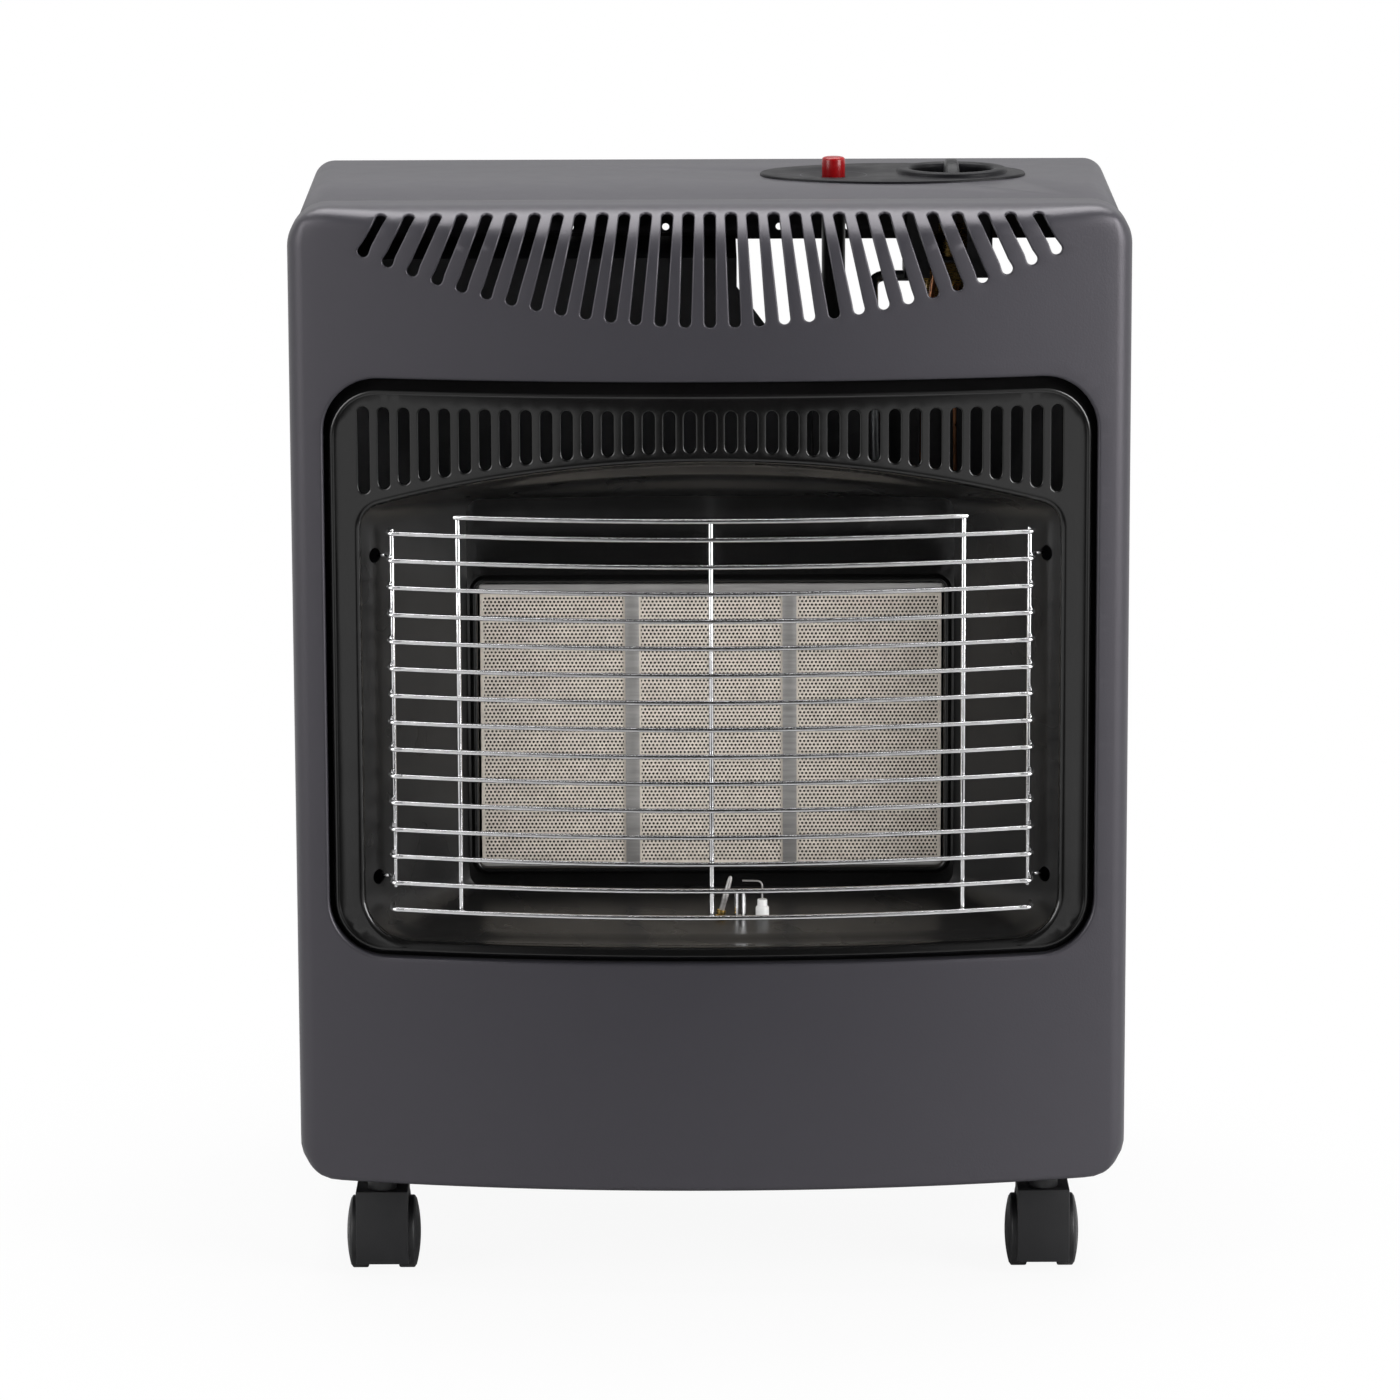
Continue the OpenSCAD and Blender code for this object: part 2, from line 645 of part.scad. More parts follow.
module enamel_surround() color(enamel) from_front() {
    rim_back = lip_d + seat_gap + enamel_t;
    intersection() {
        bow_band(face_set, face_set + enamel_t, panel_z, top_z);
        along_y() difference() {
            bead_outline();
            polygon(mouth());
            for (i = [-louvre_half : louvre_half]) louvre(i);
        }
    }
    intersection() {
        bow_band(face_set, rim_back, panel_z, top_z);
        along_y() difference() {
            bead_outline();
            bead_outline(enamel_t);
        }
    }
    intersection() {
        bow_band(lip_d + seat_gap, rim_back, panel_z, top_z);
        along_y() difference() {
            opening_outline(4);
            bead_outline(enamel_t / 2);
        }
    }
}

plaques_w = 3 * plaque_w + 2 * strip_w;
floor_parts = 12;
fire_half = plaques_w / 2 + 7;
fire_low = plaque_z - 13;
fire_high = plaque_z + plaque_h + 12;
function fire_outline(grow) = arch_outline(fire_half + grow, fire_low - grow, fire_high + grow,
    6000, 8 + grow, 8 + grow, floor_parts);
// Ring of the firebox wall, from the mouth (t = 0) to the burner (t = 1).
function fire_ring(front, back, t) = [for (j = [0 : len(front) - 1]) let (
    p = front[j] + (back[j] - front[j]) * t,
    y0 = bow_y(front[j].x, face_set + enamel_t))
    [p.x, y0 + (fire_back_y - y0) * t, p.y]];
guard_y = wire_d / 2 - guard_out;
guard_edge_y = guard_y + guard_r - sqrt(guard_r * guard_r - guard_half * guard_half);
hook_y = guard_edge_y + 12;
hook_wires = [1, wires - 2];

module firebox_liner() color(enamel) from_front() difference() {
    funnel(
        [for (t = [0, 0.5, 1]) fire_ring(mouth(enamel_t, floor_parts), fire_outline(enamel_t), t)],
        [for (t = [0, 0.5, 1]) fire_ring(mouth(0, floor_parts), fire_outline(0), t)]);
    // Holes for the guard's hooks
    for (i = hook_wires, s = [-1, 1]) translate([s * 178, hook_y, wire_z + i * wire_pitch])
        rotate([0, 90, 0]) cylinder(d = 8, h = 40, center = true, $fn = 24);
    // Cut-out for the pilot in the floor
    translate([pilot_x - 16, pilot_y - 6, mouth_z - 20]) cube([34, 12, 40]);
}

frame_y = fire_back_y + seat_gap;
plaque_y = frame_y + sheet + seat_gap;
housing_y = plaque_y + plaque_t + seat_gap;
housing_half = plaques_w / 2 + 3;
plaque_top = plaque_z + plaque_h;

module burner_frame() color(steel) from_front() {
    along_y(sheet, frame_y) difference() {
        round_rect(2 * fire_half + 12, fire_low - 6, fire_high + 6, 8, 8);
        for (i = [-1 : 1]) translate([i * (plaque_w + strip_w), 0])
            round_rect(plaque_w - 1, plaque_z + 0.5, plaque_top - 0.5, 1, 1);
    }
    // Sides that wrap the plaques
    along_y(plaque_t + 2 * seat_gap + e, frame_y + sheet - e) difference() {
        round_rect(2 * housing_half, plaque_z - 3, plaque_top + 3, 4, 4);
        round_rect(2 * housing_half - 2 * sheet, plaque_z - 3 + sheet, plaque_top + 3 - sheet, 3, 3);
    }
}

// A ceramic plaque with rows of burner dimples on its face.
module plaque(i) color(ceramic) from_front() difference() {
    along_y(plaque_t, plaque_y) translate([i * (plaque_w + strip_w), 0])
        round_rect(plaque_w, plaque_z, plaque_top, 1, 1);
    translate([i * (plaque_w + strip_w) - plaque_w / 2 + 4, plaque_y + plaque_t - 3, plaque_z + 4])
        cube([plaque_w - 8, 4, plaque_h - 8]);
}
module plaque_left() plaque(-1);
module plaque_centre() plaque(0);
module plaque_right() plaque(1);

venturi_low = plaque_z - 76;
venturi_y = housing_y + housing_d / 2;
rail_z = venturi_low - 18;

module burner_housing() color(zinc) from_front() difference() {
    along_y(housing_d, housing_y)
        round_rect(2 * housing_half, plaque_z - 3, plaque_top + 3, 8, 8);
    along_y(housing_d - sheet + e, housing_y - e) for (i = [-1 : 1])
        translate([i * (plaque_w + strip_w), 0])
            round_rect(plaque_w + strip_w - sheet - (i == 0 ? 0 : 1), plaque_z - 3 + sheet,
                plaque_top + 3 - sheet, 6, 6);
    for (i = [-1 : 1]) translate([i * (plaque_w + strip_w), venturi_y, plaque_z - 10])
        cylinder(d = venturi_bore, h = 10);
}

module venturi_tubes() color(zinc) from_front() for (i = [-1 : 1])
    translate([i * (plaque_w + strip_w), venturi_y, 0]) difference() {
        union() {
            translate([0, 0, venturi_low]) cylinder(d = venturi_bore + 2, h = plaque_z - 3 - venturi_low);
            translate([0, 0, venturi_low]) cylinder(d1 = venturi_bore + 6, d2 = venturi_bore + 2, h = 12);
            translate([0, 0, venturi_low - 10]) cylinder(d = venturi_bore + 6, h = 10 + e);
        }
        translate([0, 0, venturi_low - 11]) cylinder(d = venturi_bore, h = long);
        for (a = [45 : 90 : 315]) rotate([0, 0, a])
            translate([0, -3, venturi_low - 7]) cube([venturi_bore, 6, 8]);
    }

module gas_rail() color(zinc) from_front() difference() {
    translate([-(plaque_w + strip_w) - 15, venturi_y, rail_z]) rotate([0, 90, 0])
        cylinder(d = rail_d, h = 2 * (plaque_w + strip_w) + 30);
    translate([-(plaque_w + strip_w) - 12, venturi_y, rail_z]) rotate([0, 90, 0])
        cylinder(d = rail_d - 3, h = 2 * (plaque_w + strip_w) + 24);
    for (i = [-1 : 1]) translate([i * (plaque_w + strip_w), venturi_y, rail_z])
        cylinder(d = 5, h = rail_d);
}

// Straps that carry the rail from the back of the burner housing
module rail_straps() color(zinc) from_front() for (x = [-1, 1]) difference() {
    back = housing_y + housing_d + seat_gap;
    union() {
        translate([x * (plaque_w + strip_w) / 2 - 8, back, rail_z - 8])
            cube([16, 1.5, plaque_z + 25 - rail_z + 8]);
        translate([x * (plaque_w + strip_w) / 2 - 8, venturi_y, rail_z - 8])
            cube([16, back - venturi_y + e, 16]);
    }
    translate([0, venturi_y, rail_z]) rotate([0, 90, 0])
        cylinder(d = rail_d + 2 * seat_gap, h = long, center = true);
}

module injectors() color(brass) from_front() for (i = [-1 : 1])
    translate([i * (plaque_w + strip_w), venturi_y, rail_z]) difference() {
        union() {
            translate([0, 0, rail_d / 2 - 2]) cylinder(d = 5, h = 4);
            translate([0, 0, rail_d / 2 + seat_gap]) cylinder(d = 9, h = 4, $fn = 6);
            translate([0, 0, rail_d / 2 + 4]) cylinder(d = 6, h = 5);
        }
        translate([0, 0, 0]) cylinder(d = 1.2, h = 20);
    }

// Path of one guard wire: bowed, with its ends turned back, and outwards where it hooks in.
function guard_path(z, hook) =
    let (
        half = [for (i = [0 : 5]) let (x = (guard_half - 4) * i / 5)
            [x, guard_y + guard_r - sqrt(guard_r * guard_r - x * x), z]],
        end = concat(
            [for (p = half) p],
            [[guard_half + 1.2, guard_edge_y - 0.4, z], [guard_half + 2.5, guard_edge_y + 2.4, z]],
            hook ? [[guard_half + 2.5, hook_y - 2, z], [guard_half + 4, hook_y, z],
                    [guard_half + 13, hook_y + 1, z]]
                 : [[guard_half + 2.5, upright_y - 0.6, z]])
    )
    concat([for (i = [len(end) - 1 : -1 : 1]) [-end[i].x, end[i].y, end[i].z]], end);
upright_y = guard_edge_y + 14;

module wire_guard() color(steel) from_front() {
    touch = wire_d - 0.05;
    for (i = [0 : wires - 1])
        sweep(guard_path(wire_z + i * wire_pitch, len(search(i, hook_wires)) > 0), wire_d);
    top = wire_z + (wires - 1) * wire_pitch;
    for (x = [-upright_x, 0, upright_x])
        translate([x, guard_y + guard_r - sqrt(guard_r * guard_r - x * x) + touch, wire_z - 1])
            cylinder(d = wire_d, h = top - wire_z + 12);
    sweep([for (i = [-4 : 4]) let (x = (upright_x + 2) * i / 4)
        [x, guard_y + guard_r - sqrt(guard_r * guard_r - x * x), top + 10]], wire_d);
    for (x = [-1, 1]) translate([x * (guard_half + 2.5 - wire_d / 2), upright_y + 0.6, wire_z + 9])
        cylinder(d = wire_d, h = top - wire_z - 8);
}

// Pilot: thermocouple, pilot tube and spark electrode side by side on one bracket.
pilot_x = 15.5;
pilot_y = 48;
pilot_z = 197.5;
tc_x = pilot_x - 11.5;
spark_x = pilot_x + 12;

module pilot_bracket() color(zinc) from_front() difference() {
    union() {
        translate([tc_x - 6, pilot_y - 11, pilot_z - 3]) cube([spark_x - tc_x + 12, 17, 1.5]);
        translate([tc_x - 6, pilot_y + 6 - 1.5, pilot_z - 12]) cube([spark_x - tc_x + 12, 1.5, 10]);
    }
    for (x = [tc_x, pilot_x]) translate([x, pilot_y, pilot_z - 6]) cylinder(d = 6 + 2 * seat_gap, h = 8);
    translate([spark_x, pilot_y, pilot_z - 6]) cylinder(d = 6.5 + 2 * seat_gap, h = 8);
}

module pilot_burner() color(steel) from_front() translate([pilot_x, pilot_y, 0]) difference() {
    union() {
        translate([0, 0, pilot_z - 9]) cylinder(d = 6, h = 8);
        translate([0, 0, pilot_z - 1.5 + seat_gap]) cylinder(d = 7, h = 19);
    }
    translate([0, 0, pilot_z]) cylinder(d = 5, h = 20);
    translate([-0.6, -5, pilot_z + 2]) cube([1.2, 10, 20]);
    translate([0, 0, pilot_z - 10]) cylinder(d = 2, h = 12);
}

module thermocouple() color(brass) from_front() translate([tc_x, pilot_y, pilot_z]) {
    translate([0, 0, -9]) cylinder(d = 6, h = 8);
    translate([0, 0, -1.5 + seat_gap]) cylinder(d = 8, h = 5, $fn = 6);
    translate([0, 0, 3]) rotate([0, 15, 0]) cylinder(d = 4, h = 14);
    translate([0, 0, 3]) rotate([0, 15, 0]) cylinder(d = 2.6, h = 23);
}

module electrode_ceramic() color("white") from_front() translate([spark_x, pilot_y, 0]) difference() {
    union() {
        translate([0, 0, pilot_z - 14]) cylinder(d = 6.5, h = 14);
        translate([0, 0, pilot_z - 1.5 + seat_gap]) cylinder(d = 8, h = 12.5);
        translate([0, 0, pilot_z + 10]) cylinder(d = 5.4, h = 5);
    }
    translate([0, 0, pilot_z - 15]) cylinder(d = 1.6 + 2 * seat_gap, h = 40);
}

module electrode_wire() color(steel) from_front()
    sweep(round_path([[spark_x, pilot_y, pilot_z - 18], [spark_x, pilot_y, pilot_z + 23],
        [pilot_x + 1.5, pilot_y, pilot_z + 23]], 3), 1.5);

// Pipes and leads, as points (x, y, z) joined by bends
module pilot_pipe() color("#b87345") from_front()
    sweep(round_path([[pilot_x, pilot_y, pilot_z - 9.2], [pilot_x, pilot_y, pilot_z - 18],
        [pilot_x, 131, 165], [100, 131, 165], [112, 132, 210], [118, 138, valve_z - 22],
        [knob_x + pilot_port.x, valve_y - 26, valve_z + pilot_port.y],
        [knob_x + pilot_port.x, valve_y - 16.1, valve_z + pilot_port.y]], 4), 3);

module thermocouple_lead() color("#b87345") from_front()
    sweep(round_path([[tc_x, pilot_y, pilot_z - 9.2], [tc_x, pilot_y, pilot_z - 21], [22, 100, 156],
        [22, 131, 150], [32, 131, 120], [134, 131, 120], [138, 134, 200], [134, 137, valve_z - 22],
        [knob_x + flame_port.x, valve_y - 26, valve_z + flame_port.y],
        [knob_x + flame_port.x, valve_y - 16.1, valve_z + flame_port.y]], 4), 2.2);

module ignition_lead() color(black) from_front()
    sweep(round_path([[spark_x, pilot_y, pilot_z - 18.2], [spark_x, pilot_y, 170], [60, 104, 170],
        [62, 134, 180], [62, 137, 220], [button_x - 14, 137, piezo_low - 31],
        [button_x - 12, 139, piezo_low - 3], [button_x, controls_y - 14, piezo_low - 3],
        [button_x, controls_y - 2.1, piezo_low - 3]], 5), 3);

// Control plate with a dish for the button and a well for the knob
plate_out = 2;
ring_out = 4.5;
well_floor = top_z - 13;
dish_floor = top_z - 0.6;
dish_d = 53;                             // width of the dish at the plate's surface
dish_depth = top_z + seat_gap + plate_out - dish_floor;
dish_r = (dish_d * dish_d / 4 + dish_depth * dish_depth) / (2 * dish_depth);
cup_d = 36;                              // wall under the dish
boss_h = 8;                              // reach of the button's boss below the top

module plate_outline(set = 0) {
    half = plate_l / 2 - plate_r;
    r = (half * half + pow(plate_w / 2, 2) - plate_r * plate_r) / (plate_w - 2 * plate_r);
    drop = r - plate_w / 2;
    intersection() {
        translate([0, -drop]) circle(r - set, $fn = 180);
        translate([0, drop]) circle(r - set, $fn = 180);
        translate([-half * r / (r - plate_r), -plate_w]) square([2 * half * r / (r - plate_r), 2 * plate_w]);
    }
    for (x = [-half, half]) translate([x, 0]) circle(plate_r - set, $fn = 90);
}

module control_plate() color(paint) from_front() difference() {
    union() {
        translate([plate_x, controls_y, top_z + seat_gap]) linear_extrude(plate_out) plate_outline();
        translate([knob_x, controls_y, top_z + seat_gap]) cylinder(d = ring_d, h = ring_out);
        translate([knob_x, controls_y, well_floor - 2]) cylinder(d = knob_d + 5, h = top_z - well_floor + 4);
        translate([button_x, controls_y, top_z - 3]) cylinder(d = cup_d, h = 4);
        translate([button_x, controls_y, top_z - boss_h]) cylinder(d = button_d + 6, h = boss_h + 2);
    }
    translate([knob_x, controls_y, well_floor]) cylinder(d = knob_d + 1.6, h = long);
    translate([knob_x, controls_y, well_floor - 5]) cylinder(d = spindle_d + 4, h = 10);
    translate([button_x, controls_y, top_z - 20]) cylinder(d = button_d + 2 * run_fit, h = 60);
    // Shallow round dish for a fingertip
    translate([button_x, controls_y, dish_floor + dish_r]) sphere(dish_r, $fn = 180);
}

grip_top = top_z + 8.5;
knob_low = well_floor + knob_travel + 1;
knob_high = top_z - 2;

module control_knob() color(black) from_front() translate([knob_x, controls_y, 0]) difference() {
    union() {
        translate([0, 0, knob_low]) cylinder(d = knob_d, h = knob_high - knob_low);
        intersection() {
            translate([-4, -knob_d / 2 + 1, knob_high - 1]) cube([8, knob_d - 2, grip_top - knob_high + 1]);
            translate([0, 0, knob_high - 30]) rotate([0, 90, 0])
                cylinder(r = grip_top - knob_high + 30, h = 20, center = true, $fn = 120);
            cylinder(d = knob_d - 2, h = long);
        }
        translate([0, 0, knob_low - 3]) cylinder(d = spindle_d + 3, h = 4);
    }
    translate([0, 0, knob_low - 4]) cylinder(d = spindle_d, h = 12);
}

valve_y = controls_y;
valve_z = top_z - 68;
valve_h = 42;
pilot_port = [-10, 18];                  // ports on the valve's front, as (x, z)
flame_port = [4, 8];

plug_d = 14;
plug_h = 12;
plug_z = valve_z + 6;                    // underside of the plug
port_z = plug_z + plug_h / 2;
spindle_low = plug_z + knob_travel + 2;

// Spindle with a flat that the plug turns with
module valve_spindle() color(steel) from_front() translate([knob_x, valve_y, 0]) difference() {
    translate([0, 0, spindle_low]) cylinder(d = spindle_d, h = knob_low + 8 - spindle_low);
    translate([spindle_d / 2 - 1, -5, spindle_low - 1])
        cube([5, 10, plug_z + plug_h + knob_travel + 2 - spindle_low]);
}

module valve_plug() color(brass) from_front() translate([knob_x, valve_y, plug_z]) difference() {
    cylinder(d = plug_d, h = plug_h);
    difference() {
        translate([0, 0, 1]) cylinder(d = spindle_d + 2 * run_fit, h = plug_h);
        translate([spindle_d / 2 - 1 + run_fit, -5, 0]) cube([5, 10, plug_h + 2]);
    }
    translate([0, 0, plug_h / 2]) rotate([0, -90, 0]) cylinder(d = 3, h = 20);
}

module gas_valve() color(brass) from_front() translate([knob_x, valve_y, 0]) difference() {
    union() {
        translate([-14, -13, valve_z]) cube([28, 26, 24]);
        translate([0, 0, valve_z + 24 - e]) cylinder(d = 22, h = valve_h - 30);
        translate([0, 0, valve_z + valve_h - 6 - e]) cylinder(d = 14, h = 5);
        translate([-20, 0, port_z]) rotate([0, 90, 0]) cylinder(d = 11, h = 8, $fn = 6);
        translate([0, 12, port_z]) rotate([-90, 0, 0]) cylinder(d = 16, h = 8, $fn = 6);
        for (p = [pilot_port, flame_port]) translate([p.x, -12, valve_z + p.y])
            rotate([90, 0, 0]) cylinder(d = 8, h = 4, $fn = 6);
    }
    translate([-21, 0, port_z]) rotate([0, 90, 0]) cylinder(d = 3, h = 20);
    translate([0, 5, port_z]) rotate([-90, 0, 0]) cylinder(d = 5, h = 20);
    translate([0, 0, plug_z - 0.2]) cylinder(d = plug_d + 2 * run_fit, h = plug_h + 0.4);
    translate([0, 0, plug_z]) cylinder(d = spindle_d + 2 * run_fit, h = 80);
}

// Bridge that hangs the valve from the underside of the top
module valve_bracket() color(zinc) from_front() translate([knob_x, valve_y, 0]) difference() {
    plate_z = valve_z + 24;
    union() {
        translate([-35, -13, plate_z]) cube([70, 26, 1.5]);
        for (s = [0, 1]) mirror([s, 0, 0]) {
            translate([33.5, -13, plate_z]) cube([1.5, 26, top_z - sheet - plate_z]);
            translate([33.5, -13, top_z - sheet - 1.5]) cube([12, 26, 1.5]);
        }
    }
    translate([0, 0, plate_z - 1]) cylinder(d = 22 + 2 * seat_gap, h = 4);
    translate([-40, 0, plate_z + 20]) rotate([0, 90, 0]) cylinder(d = 12, h = 80);
}

module gas_pipe() color(zinc) from_front()
    sweep(round_path([[knob_x - 20.1, valve_y, port_z], [90, valve_y, port_z],
        [90, 138.5, valve_z - 17], [98, 138.5, rail_z + 30], [plaque_w + strip_w + 8, 138.5, rail_z],
        [plaque_w + strip_w + 8, venturi_y + rail_d / 2, rail_z]], 8, 4), pipe_d, 10);

// Male connector for the gas hose, with a hexagon to hold it by
module inlet_connector() color(brass) from_front() translate([knob_x, valve_y + 20.1, port_z])
    rotate([-90, 0, 0]) difference() {
        union() {
            cylinder(d = 17, h = 6, $fn = 6);
            cylinder(d = inlet_d, h = 6 + inlet_l);
        }
        translate([0, 0, -1]) cylinder(d = 5, h = 40);
        translate([0, 0, 6 + inlet_l - 2]) cylinder(d1 = 5, d2 = 9, h = 2 + e);
    }

piezo_low = top_z - 79;
button_low = top_z - 10;
piezo_neck = button_low - button_travel - 3;

module ignition_button() color("#c01818") from_front() translate([button_x, controls_y, 0]) {
    translate([0, 0, button_low]) cylinder(d = button_d, h = top_z + button_out - button_low - 1);
    translate([0, 0, top_z + button_out - 1 - e]) cylinder(d1 = button_d, d2 = button_d - 2, h = 1 + e);
    translate([0, 0, button_low - 14]) cylinder(d = 7, h = 14 + e);
}

module piezo_igniter() color(black) from_front() translate([button_x, controls_y, 0]) difference() {
    union() {
        translate([0, 0, piezo_low]) cylinder(d = 13, h = piezo_neck - piezo_low + e);
        translate([0, 0, piezo_neck]) cylinder(d = button_d + 4, h = top_z - boss_h - 0.2 - piezo_neck);
        translate([0, 0, top_z - 13]) cylinder(d = button_d + 9, h = 4, $fn = 6);
        translate([0, 0, piezo_low - 6]) cylinder(d = 4, h = 6 + e);
    }
    translate([0, 0, button_low - button_travel - 1]) cylinder(d = button_d + 2 * run_fit, h = 60);
    translate([0, 0, button_low - 14 - button_travel - 1]) cylinder(d = 7 + 2 * run_fit, h = 40);
}

// Castors: fixed stems with a collar under the tray and a nut above it
collar_z = 48.8;
hood_top = 48.5;
hood_r = wheel_d / 2 + 3.5;
hood_half = 14.2;
web_half = castor_w / 2 - tread_w - 3.2;
hood_low = 7.5;

module castor_stems() color(steel) from_front() for (p = castor_spots) translate([p.x, p.y, 0]) {
    translate([0, 0, 26]) cylinder(d = stem_d, h = tray_top + 9 - 26);
    translate([0, 0, collar_z]) cylinder(d = 16, h = tray_z - collar_z);
    translate([0, 0, tray_top]) cylinder(d = 14, h = 6, $fn = 6);
}

module at_castor(i) from_front() translate([castor_spots[i].x, castor_spots[i].y, 0]) children();

module castor_hood(i) color(black) at_castor(i) difference() {
    along_x(2 * hood_half) difference() {
        union() {
            translate([trail, wheel_d / 2]) circle(hood_r);
            difference() {
                translate([trail - hood_r, hood_low]) square([hood_r + 6, hood_top - hood_low]);
                translate([trail + 3, hood_top - 3]) difference() {
                    square(10);
                    circle(3);
                }
            }
        }
        translate([-long / 2, hood_low - long]) square(long);
    }
    // Room for the wheels
    for (s = [0, 1]) mirror([s, 0, 0]) {
        translate([web_half, trail, wheel_d / 2]) rotate([0, 90, 0]) cylinder(r = wheel_d / 2 + 1, h = 40);
        translate([web_half, trail + 4, hood_low - 1]) cube([40, 40, 22]);
    }
    translate([-40, trail + 12, hood_low - 1]) cube([80, 40, 14]);
    translate([0, 0, 25]) cylinder(d = stem_d + 2 * run_fit, h = 40);
    translate([0, trail, wheel_d / 2]) rotate([0, 90, 0]) cylinder(d = axle_d, h = 60, center = true);
}

module castor_axle(i) color(steel) at_castor(i) translate([0, trail, wheel_d / 2])
    rotate([0, 90, 0]) cylinder(d = axle_d, h = castor_w - 8, center = true);

// One wheel, turned about the axle: flat tread, rounded edges and a domed outer face.
module castor_wheel(i, side) color(black) at_castor(i) translate([0, trail, wheel_d / 2])
    rotate([0, side * 90, 0]) rotate_extrude() difference() {
        inner = web_half + 0.4;
        dome = 55;
        intersection() {
            translate([0, inner]) union() {
                square([wheel_d / 2 - 3, castor_w / 2 - inner]);
                translate([0, 1]) square([wheel_d / 2, castor_w / 2 - inner - 6]);
                translate([wheel_d / 2 - 5, castor_w / 2 - inner - 5]) circle(5);
            }
            translate([0, castor_w / 2 - dome]) intersection() {
                circle(dome, $fn = 180);
                square([dome, dome]);
            }
        }
        translate([-1, 0]) square([axle_d / 2 + run_fit + 1, castor_w / 2 - 3.6]);
    }

module castor_fl_hood() castor_hood(0);
module castor_fl_axle() castor_axle(0);
module castor_fl_wheel_l() castor_wheel(0, -1);
module castor_fl_wheel_r() castor_wheel(0, 1);
module castor_fr_hood() castor_hood(1);
module castor_fr_axle() castor_axle(1);
module castor_fr_wheel_l() castor_wheel(1, -1);
module castor_fr_wheel_r() castor_wheel(1, 1);
module castor_rl_hood() castor_hood(2);
module castor_rl_axle() castor_axle(2);
module castor_rl_wheel_l() castor_wheel(2, -1);
module castor_rl_wheel_r() castor_wheel(2, 1);
module castor_rr_hood() castor_hood(3);
module castor_rr_axle() castor_axle(3);
module castor_rr_wheel_l() castor_wheel(3, -1);
module castor_rr_wheel_r() castor_wheel(3, 1);

front_panel();
cabinet_shell();
base_tray();
rear_cover();
cover_studs();
heat_shield();
cabinet_screws();
enamel_surround();
firebox_liner();
burner_frame();
plaque_left();
plaque_centre();
plaque_right();
burner_housing();
venturi_tubes();
gas_rail();
rail_straps();
injectors();
wire_guard();
pilot_bracket();
pilot_burner();
thermocouple();
electrode_ceramic();
electrode_wire();
pilot_pipe();
control_plate();
control_knob();
valve_spindle();
valve_plug();
gas_valve();
valve_bracket();
gas_pipe();
inlet_connector();
ignition_button();
piezo_igniter();
ignition_lead();
thermocouple_lead();
castor_stems();
castor_fl_hood();
castor_fl_axle();
castor_fl_wheel_l();
castor_fl_wheel_r();
castor_fr_hood();
castor_fr_axle();
castor_fr_wheel_l();
castor_fr_wheel_r();
castor_rl_hood();
castor_rl_axle();
castor_rl_wheel_l();
castor_rl_wheel_r();
castor_rr_hood();
castor_rr_axle();
castor_rr_wheel_l();
castor_rr_wheel_r();
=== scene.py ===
# Looks of a mobile gas cabinet heater, built round its CAD model.
import math
from bisect import bisect_right

import bmesh
import bpy
from bpy.props import FloatProperty, FloatVectorProperty, IntProperty, PointerProperty
from mathutils import Matrix, Vector
from mathutils.geometry import delaunay_2d_cdt
from mathutils.kdtree import KDTree


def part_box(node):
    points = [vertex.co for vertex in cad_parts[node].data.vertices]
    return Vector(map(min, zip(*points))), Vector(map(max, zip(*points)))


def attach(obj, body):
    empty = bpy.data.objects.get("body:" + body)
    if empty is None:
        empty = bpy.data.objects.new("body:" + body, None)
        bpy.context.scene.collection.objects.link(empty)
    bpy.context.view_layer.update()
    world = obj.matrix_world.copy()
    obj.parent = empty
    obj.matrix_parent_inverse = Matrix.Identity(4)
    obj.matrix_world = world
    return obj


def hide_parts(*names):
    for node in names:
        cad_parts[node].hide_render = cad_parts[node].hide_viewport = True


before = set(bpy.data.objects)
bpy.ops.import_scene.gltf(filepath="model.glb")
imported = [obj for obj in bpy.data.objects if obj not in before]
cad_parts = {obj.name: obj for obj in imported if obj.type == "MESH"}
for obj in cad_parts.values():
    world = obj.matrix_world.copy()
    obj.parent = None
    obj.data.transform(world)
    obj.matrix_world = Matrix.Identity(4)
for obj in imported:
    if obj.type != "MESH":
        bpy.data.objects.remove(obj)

bl_info = {
    "name": "Cabinet heater",
    "version": (1, 0, 0),
    "blender": (4, 5, 0),
    "location": "View3D > Sidebar > Heater",
    "description": "Dresses the CAD model of a mobile gas cabinet heater",
    "category": "Object",
}

MM = 0.001
FRONT_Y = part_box("front_panel")[0][1]            # foremost point of the panel
TOP_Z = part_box("cabinet_shell")[1][2] / MM       # flat top, in millimetres
PANEL_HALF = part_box("front_panel")[1][0] / MM
PANEL_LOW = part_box("front_panel")[0][2] / MM


def size(name, words, default, low=0.0, high=1.0):
    """A length that a user can change, in metres."""
    return FloatProperty(name=name, description=words, default=default, min=low, max=high,
                         subtype="DISTANCE", unit="LENGTH", precision=4)


def colour(name, words, default):
    """A colour that a user can change."""
    return FloatVectorProperty(name=name, description=words, default=default, size=3, min=0.0, max=1.0,
                               subtype="COLOR")


